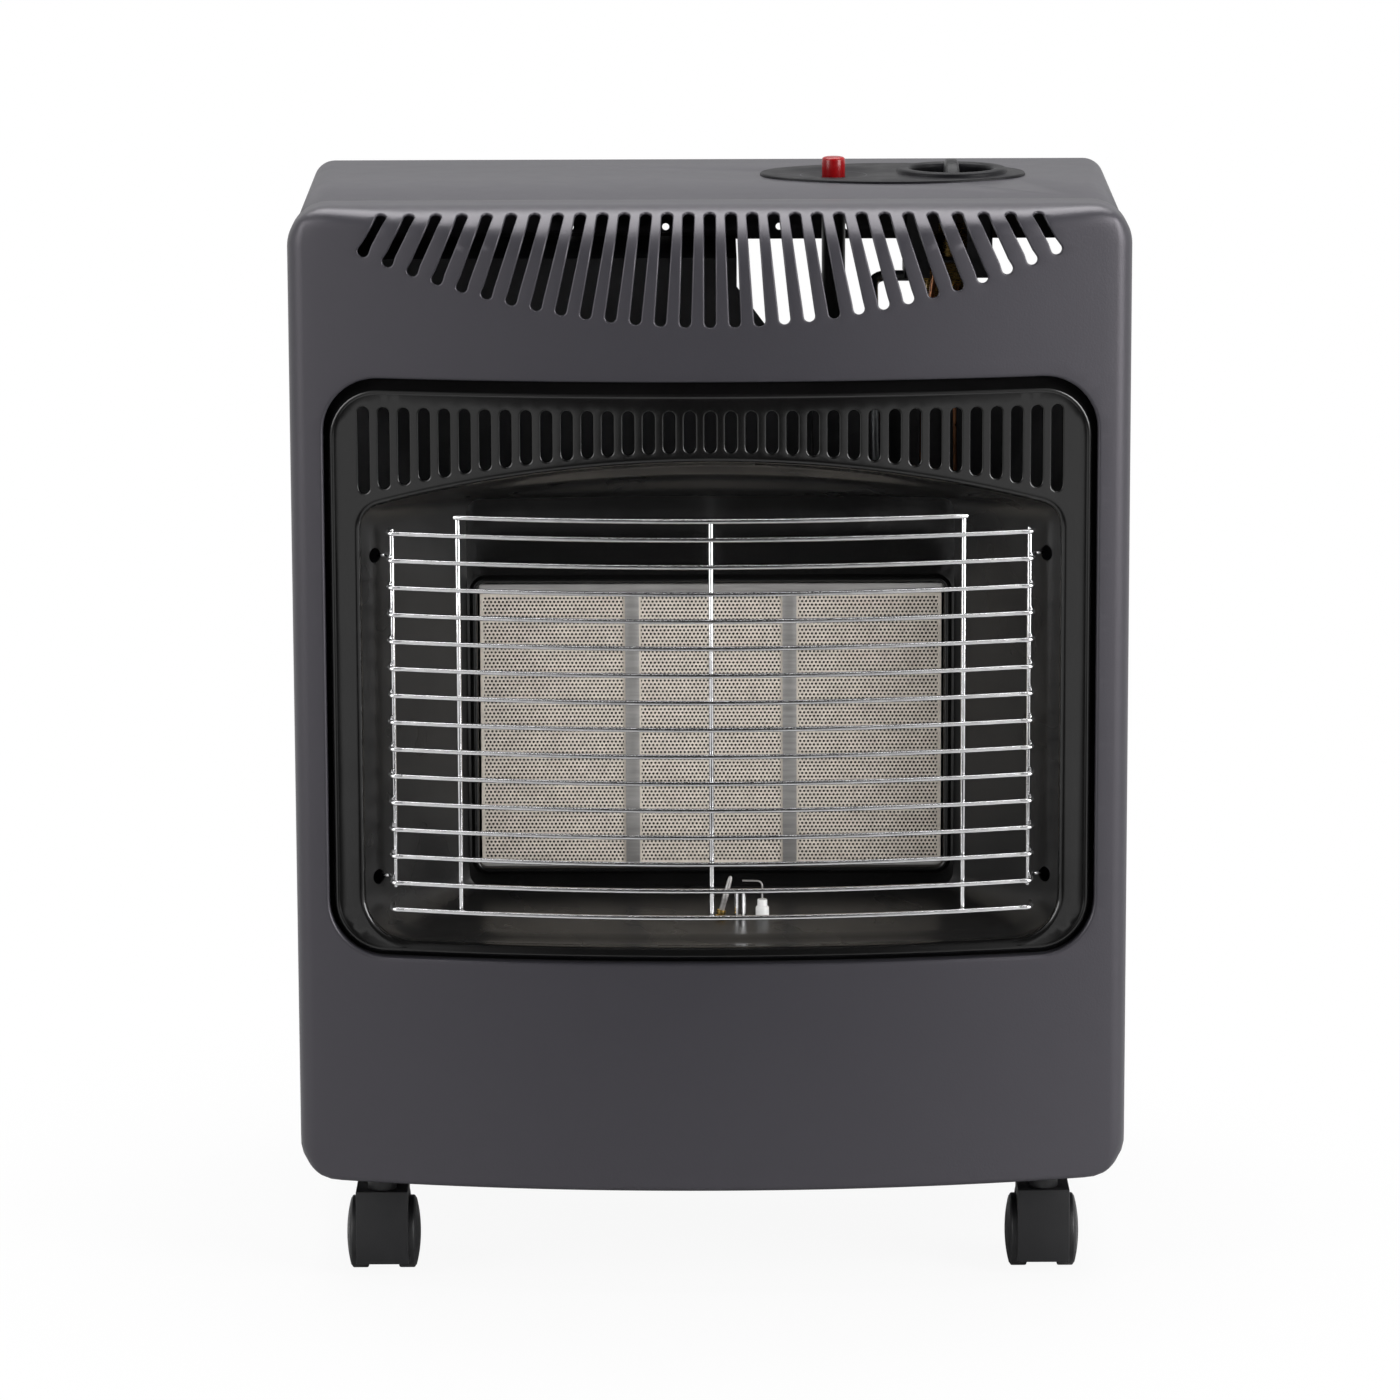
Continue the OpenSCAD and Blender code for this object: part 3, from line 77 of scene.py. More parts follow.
class HeaterPanelSizes(bpy.types.PropertyGroup):
    """Sizes of the painted front panel and of its fan of slots."""
    bow: size("Bow radius", "Radius of the panel's bow, seen from above", 0.835)
    edge: size("Upright edge radius", "Radius of the panel's upright edges", 0.012)
    roll: size("Roll radius", "Radius at which the panel rolls over to the top", 0.040)
    top_corner: size("Top corner radius", "Radius of the upper corners, seen from the front", 0.022)
    low_corner: size("Low corner radius", "Radius of the lower corners, seen from the front", 0.020)
    foot: size("Foot radius", "Radius of the panel's lower edge", 0.003)
    sheet: size("Sheet thickness", "Thickness of the painted sheet", 0.0012)
    flange: size("Top flange", "Distance that the top flange reaches back", 0.058)
    spread: size("Shell spread", "Distance that the shell's sides stand further out", 0.0025)
    shield: size("Shield reach", "Reach of the heat shield's upper part to the left", 0.205)
    bracket: size("Bracket half width", "Half the width of the box that carries the gas valve", 0.0241)
    slot_rim: size("Slot edge radius", "Radius of the edges of the fan's slots", 0.0010)
    lip: size("Opening edge radius", "Radius of the edge that turns in at the opening", 0.002)
    opening_width: size("Opening width", "Width of the opening", 0.4135)
    opening_low: size("Opening foot", "Height of the opening's lower edge above the floor", 0.1836)
    opening_height: size("Opening height", "Height of the opening", 0.316)
    opening_corner: size("Opening corner radius", "Radius of the opening's corners", 0.030)
    slot_half: IntProperty(name="Slots per side", description="Slots on each side of the middle one",
                           default=14, min=1, max=20)
    slot_width: size("Slot width", "Width of a slot of the fan", 0.006)
    slot_pitch: size("Slot spacing", "Spacing of the slots along their lower ends", 0.01313)
    slot_low: size("Fan foot", "Height of the middle slot's lower end", 0.5287)
    slot_arc: size("Fan radius", "Radius of the arc through the slots' lower ends", 0.490)
    slot_drop: size("Fan drop", "Distance of the slots' upper ends below the top", 0.0026)
    slot_tilt: FloatProperty(name="Slot tilt", description="Tilt of the outermost slots",
                             default=math.radians(28.6), subtype="ANGLE", unit="ROTATION")


class HeaterSurroundSizes(bpy.types.PropertyGroup):
    """Sizes of the enamelled surround and of the firebox behind it."""
    gap: size("Side gap", "Gap between the opening and the bead at the sides", 0.0033)
    drop: size("Top gap", "Distance of the bead below the top of the opening", 0.0065)
    rise: size("Foot gap", "Distance of the bead above the foot of the opening", 0.003)
    face: size("Face depth", "Distance of the face behind the panel", 0.004)
    slot_half: IntProperty(name="Slots per side", description="Slots on each side of the middle one",
                           default=17, min=1, max=24)
    slot_pitch: size("Slot spacing", "Spacing of the slots", 0.01088)
    slot_width: size("Slot width", "Width of a slot", 0.0058)
    slot_top: size("Slot top", "Height of the slots' upper ends", 0.4835)
    slot_gap: size("Slot gap", "Distance of the middle slot's lower end above the mouth", 0.006)
    slot_arc: size("Slot arc", "Radius of the arc through the slots' lower ends", 0.708)
    mouth_half: size("Mouth half width", "Half the width of the firebox's mouth", 0.187)
    mouth_low: size("Mouth foot", "Height of the mouth's lower edge", 0.192)
    mouth_top: size("Mouth crown", "Height of the mouth's crown", 0.4555)
    mouth_arc: size("Mouth arch radius", "Radius of the mouth's arched top", 0.640)
    burner_y: size("Firebox depth", "Distance of the firebox's back edge behind the panel", 0.091)


class HeaterBurnerSizes(bpy.types.PropertyGroup):
    """Sizes of the ceramic plaques and of their perforations."""
    width: size("Plaque width", "Width of a plaque", 0.080)
    height: size("Plaque height", "Height of a plaque", 0.152)
    low: size("Plaque foot", "Height of the plaques' lower edge", 0.219)
    strip: size("Strip width", "Width of the steel strips between the plaques", 0.006)
    hood: size("Hood wall", "Height of the wall over the plaques", 0.053)
    hole_pitch: size("Hole pitch", "Spacing of the holes in a row", 0.00215)
    row_pitch: size("Row pitch", "Spacing of the rows of holes", 0.0020)
    hole: size("Hole radius", "Radius of a hole", 0.00072)
    deep: size("Hole depth", "Depth of a hole", 0.0052)


class HeaterGuardSizes(bpy.types.PropertyGroup):
    """Sizes of the wire guard."""
    wire: size("Wire radius", "Radius of the wires", 0.0013)
    wires: IntProperty(name="Wires", description="Number of full-width wires", default=15, min=2, max=30)
    pitch: size("Wire spacing", "Spacing of the wires", 0.0147)
    low: size("Lowest wire", "Height of the lowest wire", 0.2099)
    bow: size("Guard bow", "Radius of the guard's bow", 0.630)
    half: size("Guard half width", "Half the width of the wires", 0.170)
    out: size("Guard stand-out", "Distance that the guard stands out before the panel", 0.0033)
    upright: size("Upright offset", "Offset of the upright wires from the middle", 0.135)


class HeaterFinishes(bpy.types.PropertyGroup):
    """Colours of the finishes."""
    paint: colour("Paint", "Satin grey paint of the cabinet", (0.0335, 0.0325, 0.0385))
    enamel: colour("Enamel", "Gloss black vitreous enamel", (0.0045, 0.0044, 0.0044))
    chrome: colour("Chrome", "Bright wire", (0.78, 0.78, 0.79))
    steel: colour("Steel", "Plain steel sheet", (0.42, 0.41, 0.40))
    zinc: colour("Zinc", "Zinc-plated steel", (0.36, 0.37, 0.38))
    brass: colour("Brass", "Machined brass", (0.60, 0.40, 0.13))
    copper: colour("Copper", "Copper pipe", (0.55, 0.25, 0.13))
    ceramic: colour("Ceramic", "Cream ceramic of the plaques", (0.72, 0.66, 0.58))
    porcelain: colour("Porcelain", "White glazed ceramic", (0.93, 0.93, 0.92))
    plastic: colour("Plastic", "Black moulded plastic of the castors", (0.011, 0.011, 0.012))
    plate: colour("Control plate", "Dark grey plastic of the control plate", (0.0060, 0.0059, 0.0072))
    button: colour("Button", "Red plastic of the ignition button", (0.27, 0.004, 0.006))
    shield: colour("Shield", "Black heat-proof paint of the heat shield", (0.050, 0.050, 0.053))
    floor: colour("Floor", "Pale floor", (0.62, 0.62, 0.62))


# ---------------------------------------------------------------- shapes

def at(x, y, z):
    """A point in millimetres, y measured back from the panel's foremost point, as metres in the frame."""
    return Vector((x * MM, FRONT_Y + y * MM, z * MM))


def arc(cx, cz, r, a0, a1, n):
    """Points on an arc, angles in degrees."""
    return [(cx + r * math.cos(math.radians(a0 + (a1 - a0) * i / n)),
             cz + r * math.sin(math.radians(a0 + (a1 - a0) * i / n))) for i in range(n + 1)]


def circle(x, y, r, n, high=None, turn=0.0):
    """Points of a circle, or of an oval with half its height given; turn moves them on, in steps."""
    return [(x + r * math.cos(math.tau * (i + turn) / n), y + (high or r) * math.sin(math.tau * (i + turn) / n))
            for i in range(n)]


def rolled(r, n):
    """Steps (sideways, back) of an edge that turns in by a quarter round."""
    return [(r * (1 - math.sin(a)), r * (1 - math.cos(a))) for a in [math.pi / 2 / n * i for i in range(n + 1)]]


def edge(a, b, n):
    """Points between a and b, without the ends."""
    return [(a[0] + (b[0] - a[0]) * i / n, a[1] + (b[1] - a[1]) * i / n) for i in range(1, n)]


def closed(parts, cuts):
    """Joins arcs into one loop, each straight run between them cut into the given number of parts."""
    loop = []
    for i, part in enumerate(parts):
        loop += part
        loop += edge(part[-1], parts[(i + 1) % len(parts)][0], cuts[i])
    return loop


def rounded(half, low, high, r_low, r_top, cuts=(40, 40), n=10):
    """Rounded rectangle seen from the front, anticlockwise from its lower right corner."""
    foot, z_low, head, z_top = half - r_low, low + r_low, half - r_top, high - r_top
    return closed([arc(foot, z_low, r_low, -90, 0, n), arc(head, z_top, r_top, 0, 90, n),
                   arc(-head, z_top, r_top, 90, 180, n), arc(-foot, z_low, r_low, 180, 270, n)],
                  [cuts[1], cuts[0], cuts[1], cuts[0]])


def arched(half, low, crown, arch_r, r_low, r_top, cuts=(36, 30), n=8):
    """Rounded rectangle with an arched top."""
    cx = half - r_top
    base = crown - arch_r
    cz = base + math.sqrt((arch_r - r_top) ** 2 - cx * cx)
    turn = math.degrees(math.atan2(cz - base, cx))
    bow = arc(0, base, arch_r, turn, 180 - turn, 40)[1:-1]
    return closed([arc(half - r_low, low + r_low, r_low, -90, 0, n),
                   arc(cx, cz, r_top, 0, turn, n) + bow + arc(-cx, cz, r_top, 180 - turn, 180, n),
                   arc(r_low - half, low + r_low, r_low, 180, 270, n)], [cuts[1], cuts[1], cuts[0]])


def slot_loop(x, low, high, r, tilt=0.0, cuts=8, n=8):
    """A slot with round ends: low and high are its ends' centres."""
    reach = (high - low) / math.cos(tilt)
    flat = closed([arc(0, reach, r, 0, 180, n), arc(0, 0, r, 180, 360, n)], [cuts, cuts])
    return [(x + a * math.cos(tilt) - b * math.sin(tilt), low + a * math.sin(tilt) + b * math.cos(tilt))
            for a, b in flat]


def inside(loops, x, z):
    """True if the point is inside an odd number of loops."""
    hit = False
    for loop, (x0, x1, z0, z1) in loops:
        if not (x0 <= x <= x1 and z0 <= z <= z1):
            continue
        for i in range(len(loop)):
            (ax, az), (bx, bz) = loop[i - 1], loop[i]
            if (az > z) != (bz > z) and x < (bx - ax) * (z - az) / (bz - az) + ax:
                hit = not hit
    return hit


def fill(outer, holes, points, clear):
    """Triangles of a flat region with holes. Inner points nearer to a loop than clear are left out."""
    loops = [(l, (min(p[0] for p in l), max(p[0] for p in l), min(p[1] for p in l), max(p[1] for p in l)))
             for l in [outer] + holes]
    rim = [p for l in [outer] + holes for p in l]
    tree = KDTree(len(rim))
    for i, p in enumerate(rim):
        tree.insert((p[0], p[1], 0), i)
    tree.balance()
    verts, lines = [], []
    for loop in [outer] + holes:
        first = len(verts)
        verts += [Vector(p) for p in loop]
        lines += [(first + i, first + (i + 1) % len(loop)) for i in range(len(loop))]
    verts += [Vector(p) for p in points if tree.find((p[0], p[1], 0))[2] > clear and inside(loops, *p)]
    out, _, faces, *_ = delaunay_2d_cdt(verts, lines, [], 0, 1e-5)
    kept = []
    for f in faces:
        cx, cz = sum(out[i].x for i in f) / 3, sum(out[i].y for i in f) / 3
        if inside(loops, cx, cz):
            a, b, c = (out[i] for i in f)
            turn = (b - a).cross(c - a)
            kept.append(list(f) if turn > 0 else list(f)[::-1])
    return [(v.x, v.y) for v in out], kept


def grid(xs, zs):
    return [(x, z) for x in xs for z in zs]


def spread(a, b, step):
    """Numbers from a to b in equal steps of about the given size."""
    n = max(1, round((b - a) / step))
    return [a + (b - a) * i / n for i in range(n + 1)]


def linked(name, data):
    """A new object in the scene."""
    obj = bpy.data.objects.new(name, data)
    bpy.context.scene.collection.objects.link(obj)
    return obj


class Skin:
    """Faces of one piece while it is being made; points in metres."""

    def __init__(self):
        self.bm = bmesh.new()

    def sheet(self, points, faces):
        made = [self.bm.verts.new(p) for p in points]
        for f in faces:
            self.face([made[i] for i in f])

    def face(self, corners):
        if len(set(corners)) > 2:
            try:
                self.bm.faces.new(corners)
            except ValueError:
                pass

    def rows(self, rows, loop=True):
        """Quads between rows of equally many points, which run round closed loops."""
        made = [[self.bm.verts.new(p) for p in row] for row in rows]
        for a, b in zip(made, made[1:]):
            n = len(a)
            for i in range(n if loop else n - 1):
                j = (i + 1) % n
                self.face([a[i], a[j], b[j], b[i]])
        return made

    def cap(self, row, flip=False):
        self.face(row[::-1] if flip else row)

    def lathe(self, profile, centre, axis, n):
        """A closed or open form from (radius, height) points about an axis through centre."""
        turn = {"x": Matrix(((0, 0, 1), (1, 0, 0), (0, 1, 0))), "y": Matrix(((0, 1, 0), (0, 0, 1), (1, 0, 0))),
                "z": Matrix.Identity(3)}[axis]
        self.rows([[Vector(centre) + turn @ Vector((r * MM * math.cos(2 * math.pi * i / n),
                                                    r * MM * math.sin(2 * math.pi * i / n), h * MM))
                    for i in range(n)] for r, h in profile])

    def merge(self, distance=1e-6):
        bmesh.ops.remove_doubles(self.bm, verts=self.bm.verts, dist=distance)
        bmesh.ops.dissolve_degenerate(self.bm, edges=self.bm.edges, dist=1e-7)
        bmesh.ops.dissolve_degenerate(self.bm, dist=5e-6, edges=self.bm.edges)

    def outward(self):
        bmesh.ops.recalc_face_normals(self.bm, faces=self.bm.faces)

    def face_front(self, way=(0, -1, 0)):
        """One open sheet with its faces turned to the front, or to another side."""
        self.outward()
        if sum(f.normal.dot(Vector(way)) * f.calc_area() for f in self.bm.faces) < 0:
            bmesh.ops.reverse_faces(self.bm, faces=self.bm.faces)

    def object(self, name):
        mesh = bpy.data.meshes.new(name)
        self.bm.normal_update()
        self.bm.to_mesh(mesh)
        self.bm.free()
        return linked(name, mesh)


def settle(obj, angle=35):
    """Turns an object and its modifiers into one plain, smooth mesh with sharp creases."""
    bpy.context.view_layer.update()
    plain = bpy.data.meshes.new_from_object(obj.evaluated_get(bpy.context.evaluated_depsgraph_get()))
    obj.modifiers.clear()
    if obj.type != "MESH":
        other = linked(obj.name, plain)
        name = obj.name
        bpy.data.objects.remove(obj)
        other.name = name
        obj = other
    else:
        obj.data = plain
    plain.name = obj.name
    for p in plain.polygons:
        p.use_smooth = True
    plain.set_sharp_from_angle(angle=math.radians(angle))
    return obj


def thicken(obj, thickness, offset=-1.0):
    m = obj.modifiers.new("Sheet", "SOLIDIFY")
    m.thickness = thickness
    m.offset = offset
    m.use_even_offset = True
    m.thickness_clamp = 0.0


def folded(obj, thickness, angle=30):
    """The sheet with its thickness; corners that an edge as thin as a hair threw out are laid back."""
    n = len(obj.data.vertices)
    thicken(obj, thickness)
    obj = settle(obj, angle)
    corners = list(obj.data.vertices)
    for a, b in zip(corners[:n], corners[n:2 * n]):
        if (a.co - b.co).length > 2.5 * thickness:
            b.co = a.co - a.normal * thickness
    return obj


def soften(obj, width, angle=40, crease=35, segments=2):
    """The object with bevelled edges, settled into one plain mesh."""
    m = obj.modifiers.new("Edges", "BEVEL")
    m.width = width
    m.segments = segments
    m.limit_method = "ANGLE"
    m.angle_limit = math.radians(angle)
    m.use_clamp_overlap = True
    return settle(obj, crease)


def deliver(obj, look, body, nodes):
    """Gives a finished piece its material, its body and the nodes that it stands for."""
    obj.data.materials.clear()
    obj.data.materials.append(finish(look))
    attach(obj, body)
    if nodes:
        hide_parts(*nodes)


def dress(node, body, look, edge=0.0003, angle=30, segments=2, move=None):
    """A smooth copy of a CAD node with softened edges, which stands for it; move can shift its corners."""
    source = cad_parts[node]
    obj = linked(node + "_skin", source.data.copy())
    obj.data.materials.clear()
    bm = bmesh.new()
    bm.from_mesh(obj.data)
    bmesh.ops.remove_doubles(bm, verts=bm.verts, dist=2e-6)
    bmesh.ops.dissolve_limit(bm, angle_limit=math.radians(1), verts=bm.verts, edges=bm.edges)
    for v in bm.verts if move else ():
        move(v.co)
    bm.to_mesh(obj.data)
    bm.free()
    soften(obj, edge, angle, angle, segments)
    deliver(obj, look, body, [node])


# ---------------------------------------------------------------- finishes

def put(tree, kind, inputs=(), **settings):
    """A new node of a tree. Each of its inputs is given as a socket to follow or as a value."""
    made = tree.nodes.new(kind)
    for key, value in settings.items():
        setattr(made, key, value)
    for key, value in dict(inputs).items():
        if isinstance(value, bpy.types.NodeSocket):
            tree.links.new(value, made.inputs[key])
        else:
            made.inputs[key].default_value = value
    return made


def maths(tree, kind, a, b=0.0):
    return put(tree, "ShaderNodeMath", {0: a, 1: b}, operation=kind).outputs[0]


def mixed(tree, share, a, b):
    return put(tree, "ShaderNodeMixShader", {"Fac": share, 1: a, 2: b}).outputs[0]


class Finish:
    """A material built from named steps on one Principled shader."""

    def __init__(self, name, colour, rough, metal=0.0):
        self.mat = bpy.data.materials.new(name)
        self.mat.use_nodes = True
        self.tree = self.mat.node_tree
        self.shader = self.tree.nodes["Principled BSDF"]
        self.fix("Base Color", (*colour, 1))
        self.fix("Roughness", rough)
        self.fix("Metallic", metal)
        self.colour = colour
        self.place = put(self.tree, "ShaderNodeTexCoord").outputs["Object"]
        self.bumped = None

    def fix(self, key, value):
        self.shader.inputs[key].default_value = value

    def drive(self, key, value):
        self.tree.links.new(value, self.shader.inputs[key])

    def noise(self, scale, detail, seed=0.0, along=1, rough=0.5):
        """Noise in the piece's own place; along squeezes it along z."""
        place = put(self.tree, "ShaderNodeMapping", {
            "Vector": self.place, "Scale": (1, 1, along), "Location": (seed, seed * 0.7, seed * 1.3)})
        return put(self.tree, "ShaderNodeTexNoise", {
            "Vector": place.outputs["Vector"], "Scale": scale, "Detail": detail,
            "Roughness": rough}).outputs["Fac"]

    def to_range(self, value, low, high, start=0.3, end=0.7):
        return put(self.tree, "ShaderNodeMapRange", {
            "Value": value, "From Min": start, "From Max": end, "To Min": low, "To Max": high}).outputs["Result"]

    def shades(self, value, dark, light):
        """Colour that runs from dark to light times the base colour."""
        ramp = put(self.tree, "ShaderNodeValToRGB", {"Fac": value})
        for end, place, share in zip(ramp.color_ramp.elements, (0.3, 0.7), (dark, light)):
            end.position = place
            end.color = (*[min(1, c * share) for c in self.colour], 1)
        self.drive("Base Color", ramp.outputs["Color"])
        return ramp.outputs["Color"]

    def bump(self, value, strength, depth):
        inputs = {"Height": value, "Strength": strength, "Distance": depth}
        if self.bumped is not None:
            inputs["Normal"] = self.bumped
        self.bumped = put(self.tree, "ShaderNodeBump", inputs).outputs["Normal"]
        self.drive("Normal", self.bumped)


MATERIALS = {}


# Each finish: its colour and a factor on it, roughness, metal, then the noise (scale, detail, seed, along, rough)
# and the limits of its shades and of its roughness, its bumps (noise, strength, depth) and its specular level.
FINISHES = {
    "satin_paint": ("paint", 1, 0.38, 0, ((6, 4), 0.97, 1.03), ((60, 3, 4), 0.365, 0.395),
                    [((900, 2, 2), 0.12, 0.0004)], 0.5),
    "liner_enamel": ("enamel", 2.8, 0.3, 0, ((30, 3), 0.85, 1.2), ((18, 3, 3), 0.24, 0.36),
                     [((350, 2, 8), 0.06, 0.0003)], 0.5),
    "black_enamel": ("enamel", 1, 0.14, 0, ((30, 3), 0.85, 1.2), ((18, 3, 3), 0.10, 0.20),
                     [((28, 2, 5), 0.22, 0.0012), ((350, 2, 8), 0.06, 0.0003)], 0.5),
    "bright_wire": ("chrome", 1, 0.16, 1, ((160, 3), 0.88, 1.05), ((300, 2, 3), 0.10, 0.24),
                    [((700, 2, 1), 0.05, 0.0001)], 0.5),
    "steel_sheet": ("steel", 1, 0.36, 0.55, ((40, 4, 0, 12), 0.8, 1.12), ((60, 3, 3, 20), 0.28, 0.46),
                    [((500, 2, 2, 20), 0.08, 0.0001)], 0.5),
    "zinc_plate": ("zinc", 1, 0.4, 1, ((70, 4), 0.75, 1.15), ((50, 4, 3), 0.30, 0.5),
                   [((400, 2, 1), 0.08, 0.0001)], 0.5),
    "machined_brass": ("brass", 1, 0.26, 1, ((90, 4), 0.8, 1.1), ((260, 2, 3, 8), 0.18, 0.36),
                       [((800, 1, 2, 10), 0.06, 0.0001)], 0.5),
    "copper_pipe": ("copper", 1, 0.3, 1, ((60, 4), 0.65, 1.1), ((90, 3, 3), 0.24, 0.42),
                    [((300, 2), 0.05, 0.0001)], 0.5),
    # cream ceramic of the plaques; finish() paints shade into it down the holes
    "plaque_ceramic": ("ceramic", 1, 0.85, 0, ((110, 5, 2, 1, 0.7), 0.86, 1.08), ((300, 2), 0.8, 0.95),
                       [((1400, 3, 5), 0.35, 0.0002)], 0.5),
    "porcelain": ("porcelain", 1, 0.18, 0, ((80, 2), 0.96, 1.03), ((60, 2, 2), 0.14, 0.24),
                  [((300, 2), 0.04, 0.0001)], 0.5),
    "castor_plastic": ("plastic", 1, 0.42, 0, ((30, 3), 0.85, 1.2), ((60, 3, 2), 0.36, 0.5),
                       [((1500, 2, 3), 0.16, 0.0002)], 0.35),
    "knob_plastic": ("plastic", 1.3, 0.4, 0, ((60, 3), 0.9, 1.1), ((80, 3, 2), 0.34, 0.46),
                     [((1800, 2, 3), 0.12, 0.0001)], 0.14),
    "plate_plastic": ("plate", 1, 0.42, 0, ((40, 3), 0.92, 1.08), ((70, 3, 2), 0.36, 0.48),
                      [((1600, 2, 3), 0.10, 0.0001)], 0.12),
    "red_plastic": ("button", 1, 0.2, 0, ((60, 2), 0.92, 1.06), ((90, 2, 2), 0.16, 0.26),
                    [((500, 1), 0.03, 0.0001)], 0.3),
    "lead_rubber": ("plastic", 0.8, 0.55, 0, ((90, 3), 0.85, 1.2), ((120, 2, 2), 0.48, 0.62),
                    [((900, 2), 0.06, 0.0001)], 0.5),
    "shield_black": ("shield", 1, 0.55, 0, ((25, 4), 0.8, 1.3), ((40, 3, 2), 0.5, 0.72),
                     [((300, 3), 0.10, 0.0002)], 0.5),
}


def finish(name):
    """The material of that name, made on first use from the colours in the sidebar."""
    if name in MATERIALS:
        return MATERIALS[name]
    key, share, rough, metal, shades, roughness, bumps, gloss = FINISHES[name]
    f = Finish(name, tuple(x * share for x in getattr(bpy.context.scene.heater_finishes, key)), rough, metal)
    f.fix("Specular IOR Level", gloss)
    tint = f.shades(f.noise(*shades[0]), *shades[1:])
    if name == "plaque_ceramic":
        # painted shade: the ceramic's colour darkens with depth behind the face, down the holes
        deep = FRONT_Y + bpy.context.scene.heater_surround.burner_y
        y = put(f.tree, "ShaderNodeSeparateXYZ", {0: f.place}).outputs["Y"]
        dim = put(f.tree, "ShaderNodeVectorMath", {
            0: tint, "Scale": f.to_range(y, 1.0, 0.10, deep + 0.0016, deep + 0.0030)}, operation="SCALE")
        f.drive("Base Color", dim.outputs[0])
    elif name == "satin_paint":
        f.fix("Specular Tint", (0.98, 0.93, 1.0, 1))
    f.drive("Roughness", f.to_range(f.noise(*roughness[0]), *roughness[1:]))
    for noise, strength, depth in bumps:
        f.bump(f.noise(*noise), strength, depth)
    MATERIALS[name] = f.mat
    return f.mat


# ---------------------------------------------------------------- node trees

def new_tree(name, sockets):
    """A geometry tree with the given inputs, between the geometry and the material; and its input sockets."""
    tree = bpy.data.node_groups.new(name, "GeometryNodeTree")
    face = tree.interface
    for words, kind, default in (("Geometry", "Geometry", None), *sockets, ("Material", "Material", None)):
        socket = face.new_socket(name=words, in_out="INPUT", socket_type="NodeSocket" + kind)
        if default is not None:
            socket.default_value = default
    face.new_socket(name="Geometry", in_out="OUTPUT", socket_type="NodeSocketGeometry")
    return tree, put(tree, "NodeGroupInput").outputs


def ended(tree, geometry, material):
    """The tree with its geometry given the material and sent out."""
    mat = put(tree, "GeometryNodeSetMaterial", {"Geometry": geometry, "Material": material})
    put(tree, "NodeGroupOutput", {"Geometry": mat.outputs["Geometry"]})
    return tree


def bar_tree():
    """Geometry nodes that turn curves into round bars with closed ends."""
    if "Round bar" in bpy.data.node_groups:
        return bpy.data.node_groups["Round bar"]
    tree, given = new_tree("Round bar", (("Radius", "Float", 0.001), ("Sides", "Int", 12)))
    ring = put(tree, "GeometryNodeCurvePrimitiveCircle", {"Radius": given["Radius"], "Resolution": given["Sides"]})
    bar = put(tree, "GeometryNodeCurveToMesh", {
        "Curve": given["Geometry"], "Profile Curve": ring.outputs["Curve"], "Fill Caps": True})
    real = put(tree, "GeometryNodeRealizeInstances", {"Geometry": bar.outputs["Mesh"]})
    return ended(tree, real.outputs["Geometry"], given["Material"])


def scatter_tree():
    """Geometry nodes that lay copies of a tile in rows, each second row moved by half a pitch."""
    if "Rows of tiles" in bpy.data.node_groups:
        return bpy.data.node_groups["Rows of tiles"]
    tree, given = new_tree("Rows of tiles", (
        ("Tile", "Object", None), ("Columns", "Int", 10), ("Rows", "Int", 10), ("Hole pitch", "Float", 0.002),
        ("Row pitch", "Float", 0.002), ("Corner", "Vector", None)))
    index = put(tree, "GeometryNodeInputIndex").outputs["Index"]
    share = maths(tree, "DIVIDE", maths(tree, "ADD", index, 0.5), given["Columns"])
    row = maths(tree, "FLOOR", share)
    column = maths(tree, "SUBTRACT", index, maths(tree, "MULTIPLY", row, given["Columns"]))
    shift = maths(tree, "MULTIPLY", maths(tree, "MODULO", row, 2.0), 0.5)
    place = put(tree, "ShaderNodeCombineXYZ", {
        "X": maths(tree, "MULTIPLY", maths(tree, "ADD", column, shift), given["Hole pitch"]),
        "Z": maths(tree, "MULTIPLY", row, given["Row pitch"])})
    moved = put(tree, "ShaderNodeVectorMath", {0: place.outputs["Vector"], 1: given["Corner"]})
    points = put(tree, "GeometryNodePoints", {
        "Count": maths(tree, "MULTIPLY", given["Columns"], given["Rows"]), "Position": moved.outputs["Vector"]})
    tile = put(tree, "GeometryNodeObjectInfo", {"Object": given["Tile"]})
    copies = put(tree, "GeometryNodeInstanceOnPoints", {
        "Points": points.outputs["Points"], "Instance": tile.outputs["Geometry"]})
    real = put(tree, "GeometryNodeRealizeInstances", {"Geometry": copies.outputs["Instances"]})
    weld = put(tree, "GeometryNodeMergeByDistance", {"Geometry": real.outputs["Geometry"], "Distance": 0.00002})
    join = put(tree, "GeometryNodeJoinGeometry", {"Geometry": weld.outputs["Geometry"]})
    tree.links.new(given["Geometry"], join.inputs["Geometry"])
    return ended(tree, join.outputs["Geometry"], given["Material"])


def grow(obj, tree, **values):
    """Gives an object a node tree, with its inputs set by name."""
    m = obj.modifiers.new(tree.name, "NODES")
    m.node_group = tree
    for s in tree.interface.items_tree:
        if s.item_type == "SOCKET" and s.in_out == "INPUT" and s.name.replace(" ", "_").lower() in values:
            m[s.identifier] = values[s.name.replace(" ", "_").lower()]


def bent(path, r, n=4):
    """A path with each corner replaced by a bend."""
    path = [Vector(p) for p in path]
    out = [path[0]]
    for a, p, b in zip(path, path[1:], path[2:]):
        u, v = (a - p).normalized(), (b - p).normalized()
        half = u.angle(v) / 2
        if abs(half - math.pi / 2) < 0.01:
            out.append(p)
            continue
        cut = min(r / math.tan(half), (a - p).length * 0.49, (b - p).length * 0.49)
        for i in range(n + 1):
            t = i / n
            q = (p + u * cut) * (1 - t) ** 2 + p * 2 * t * (1 - t) + (p + v * cut) * t * t
            out.append(q)
    return out + [path[-1]]


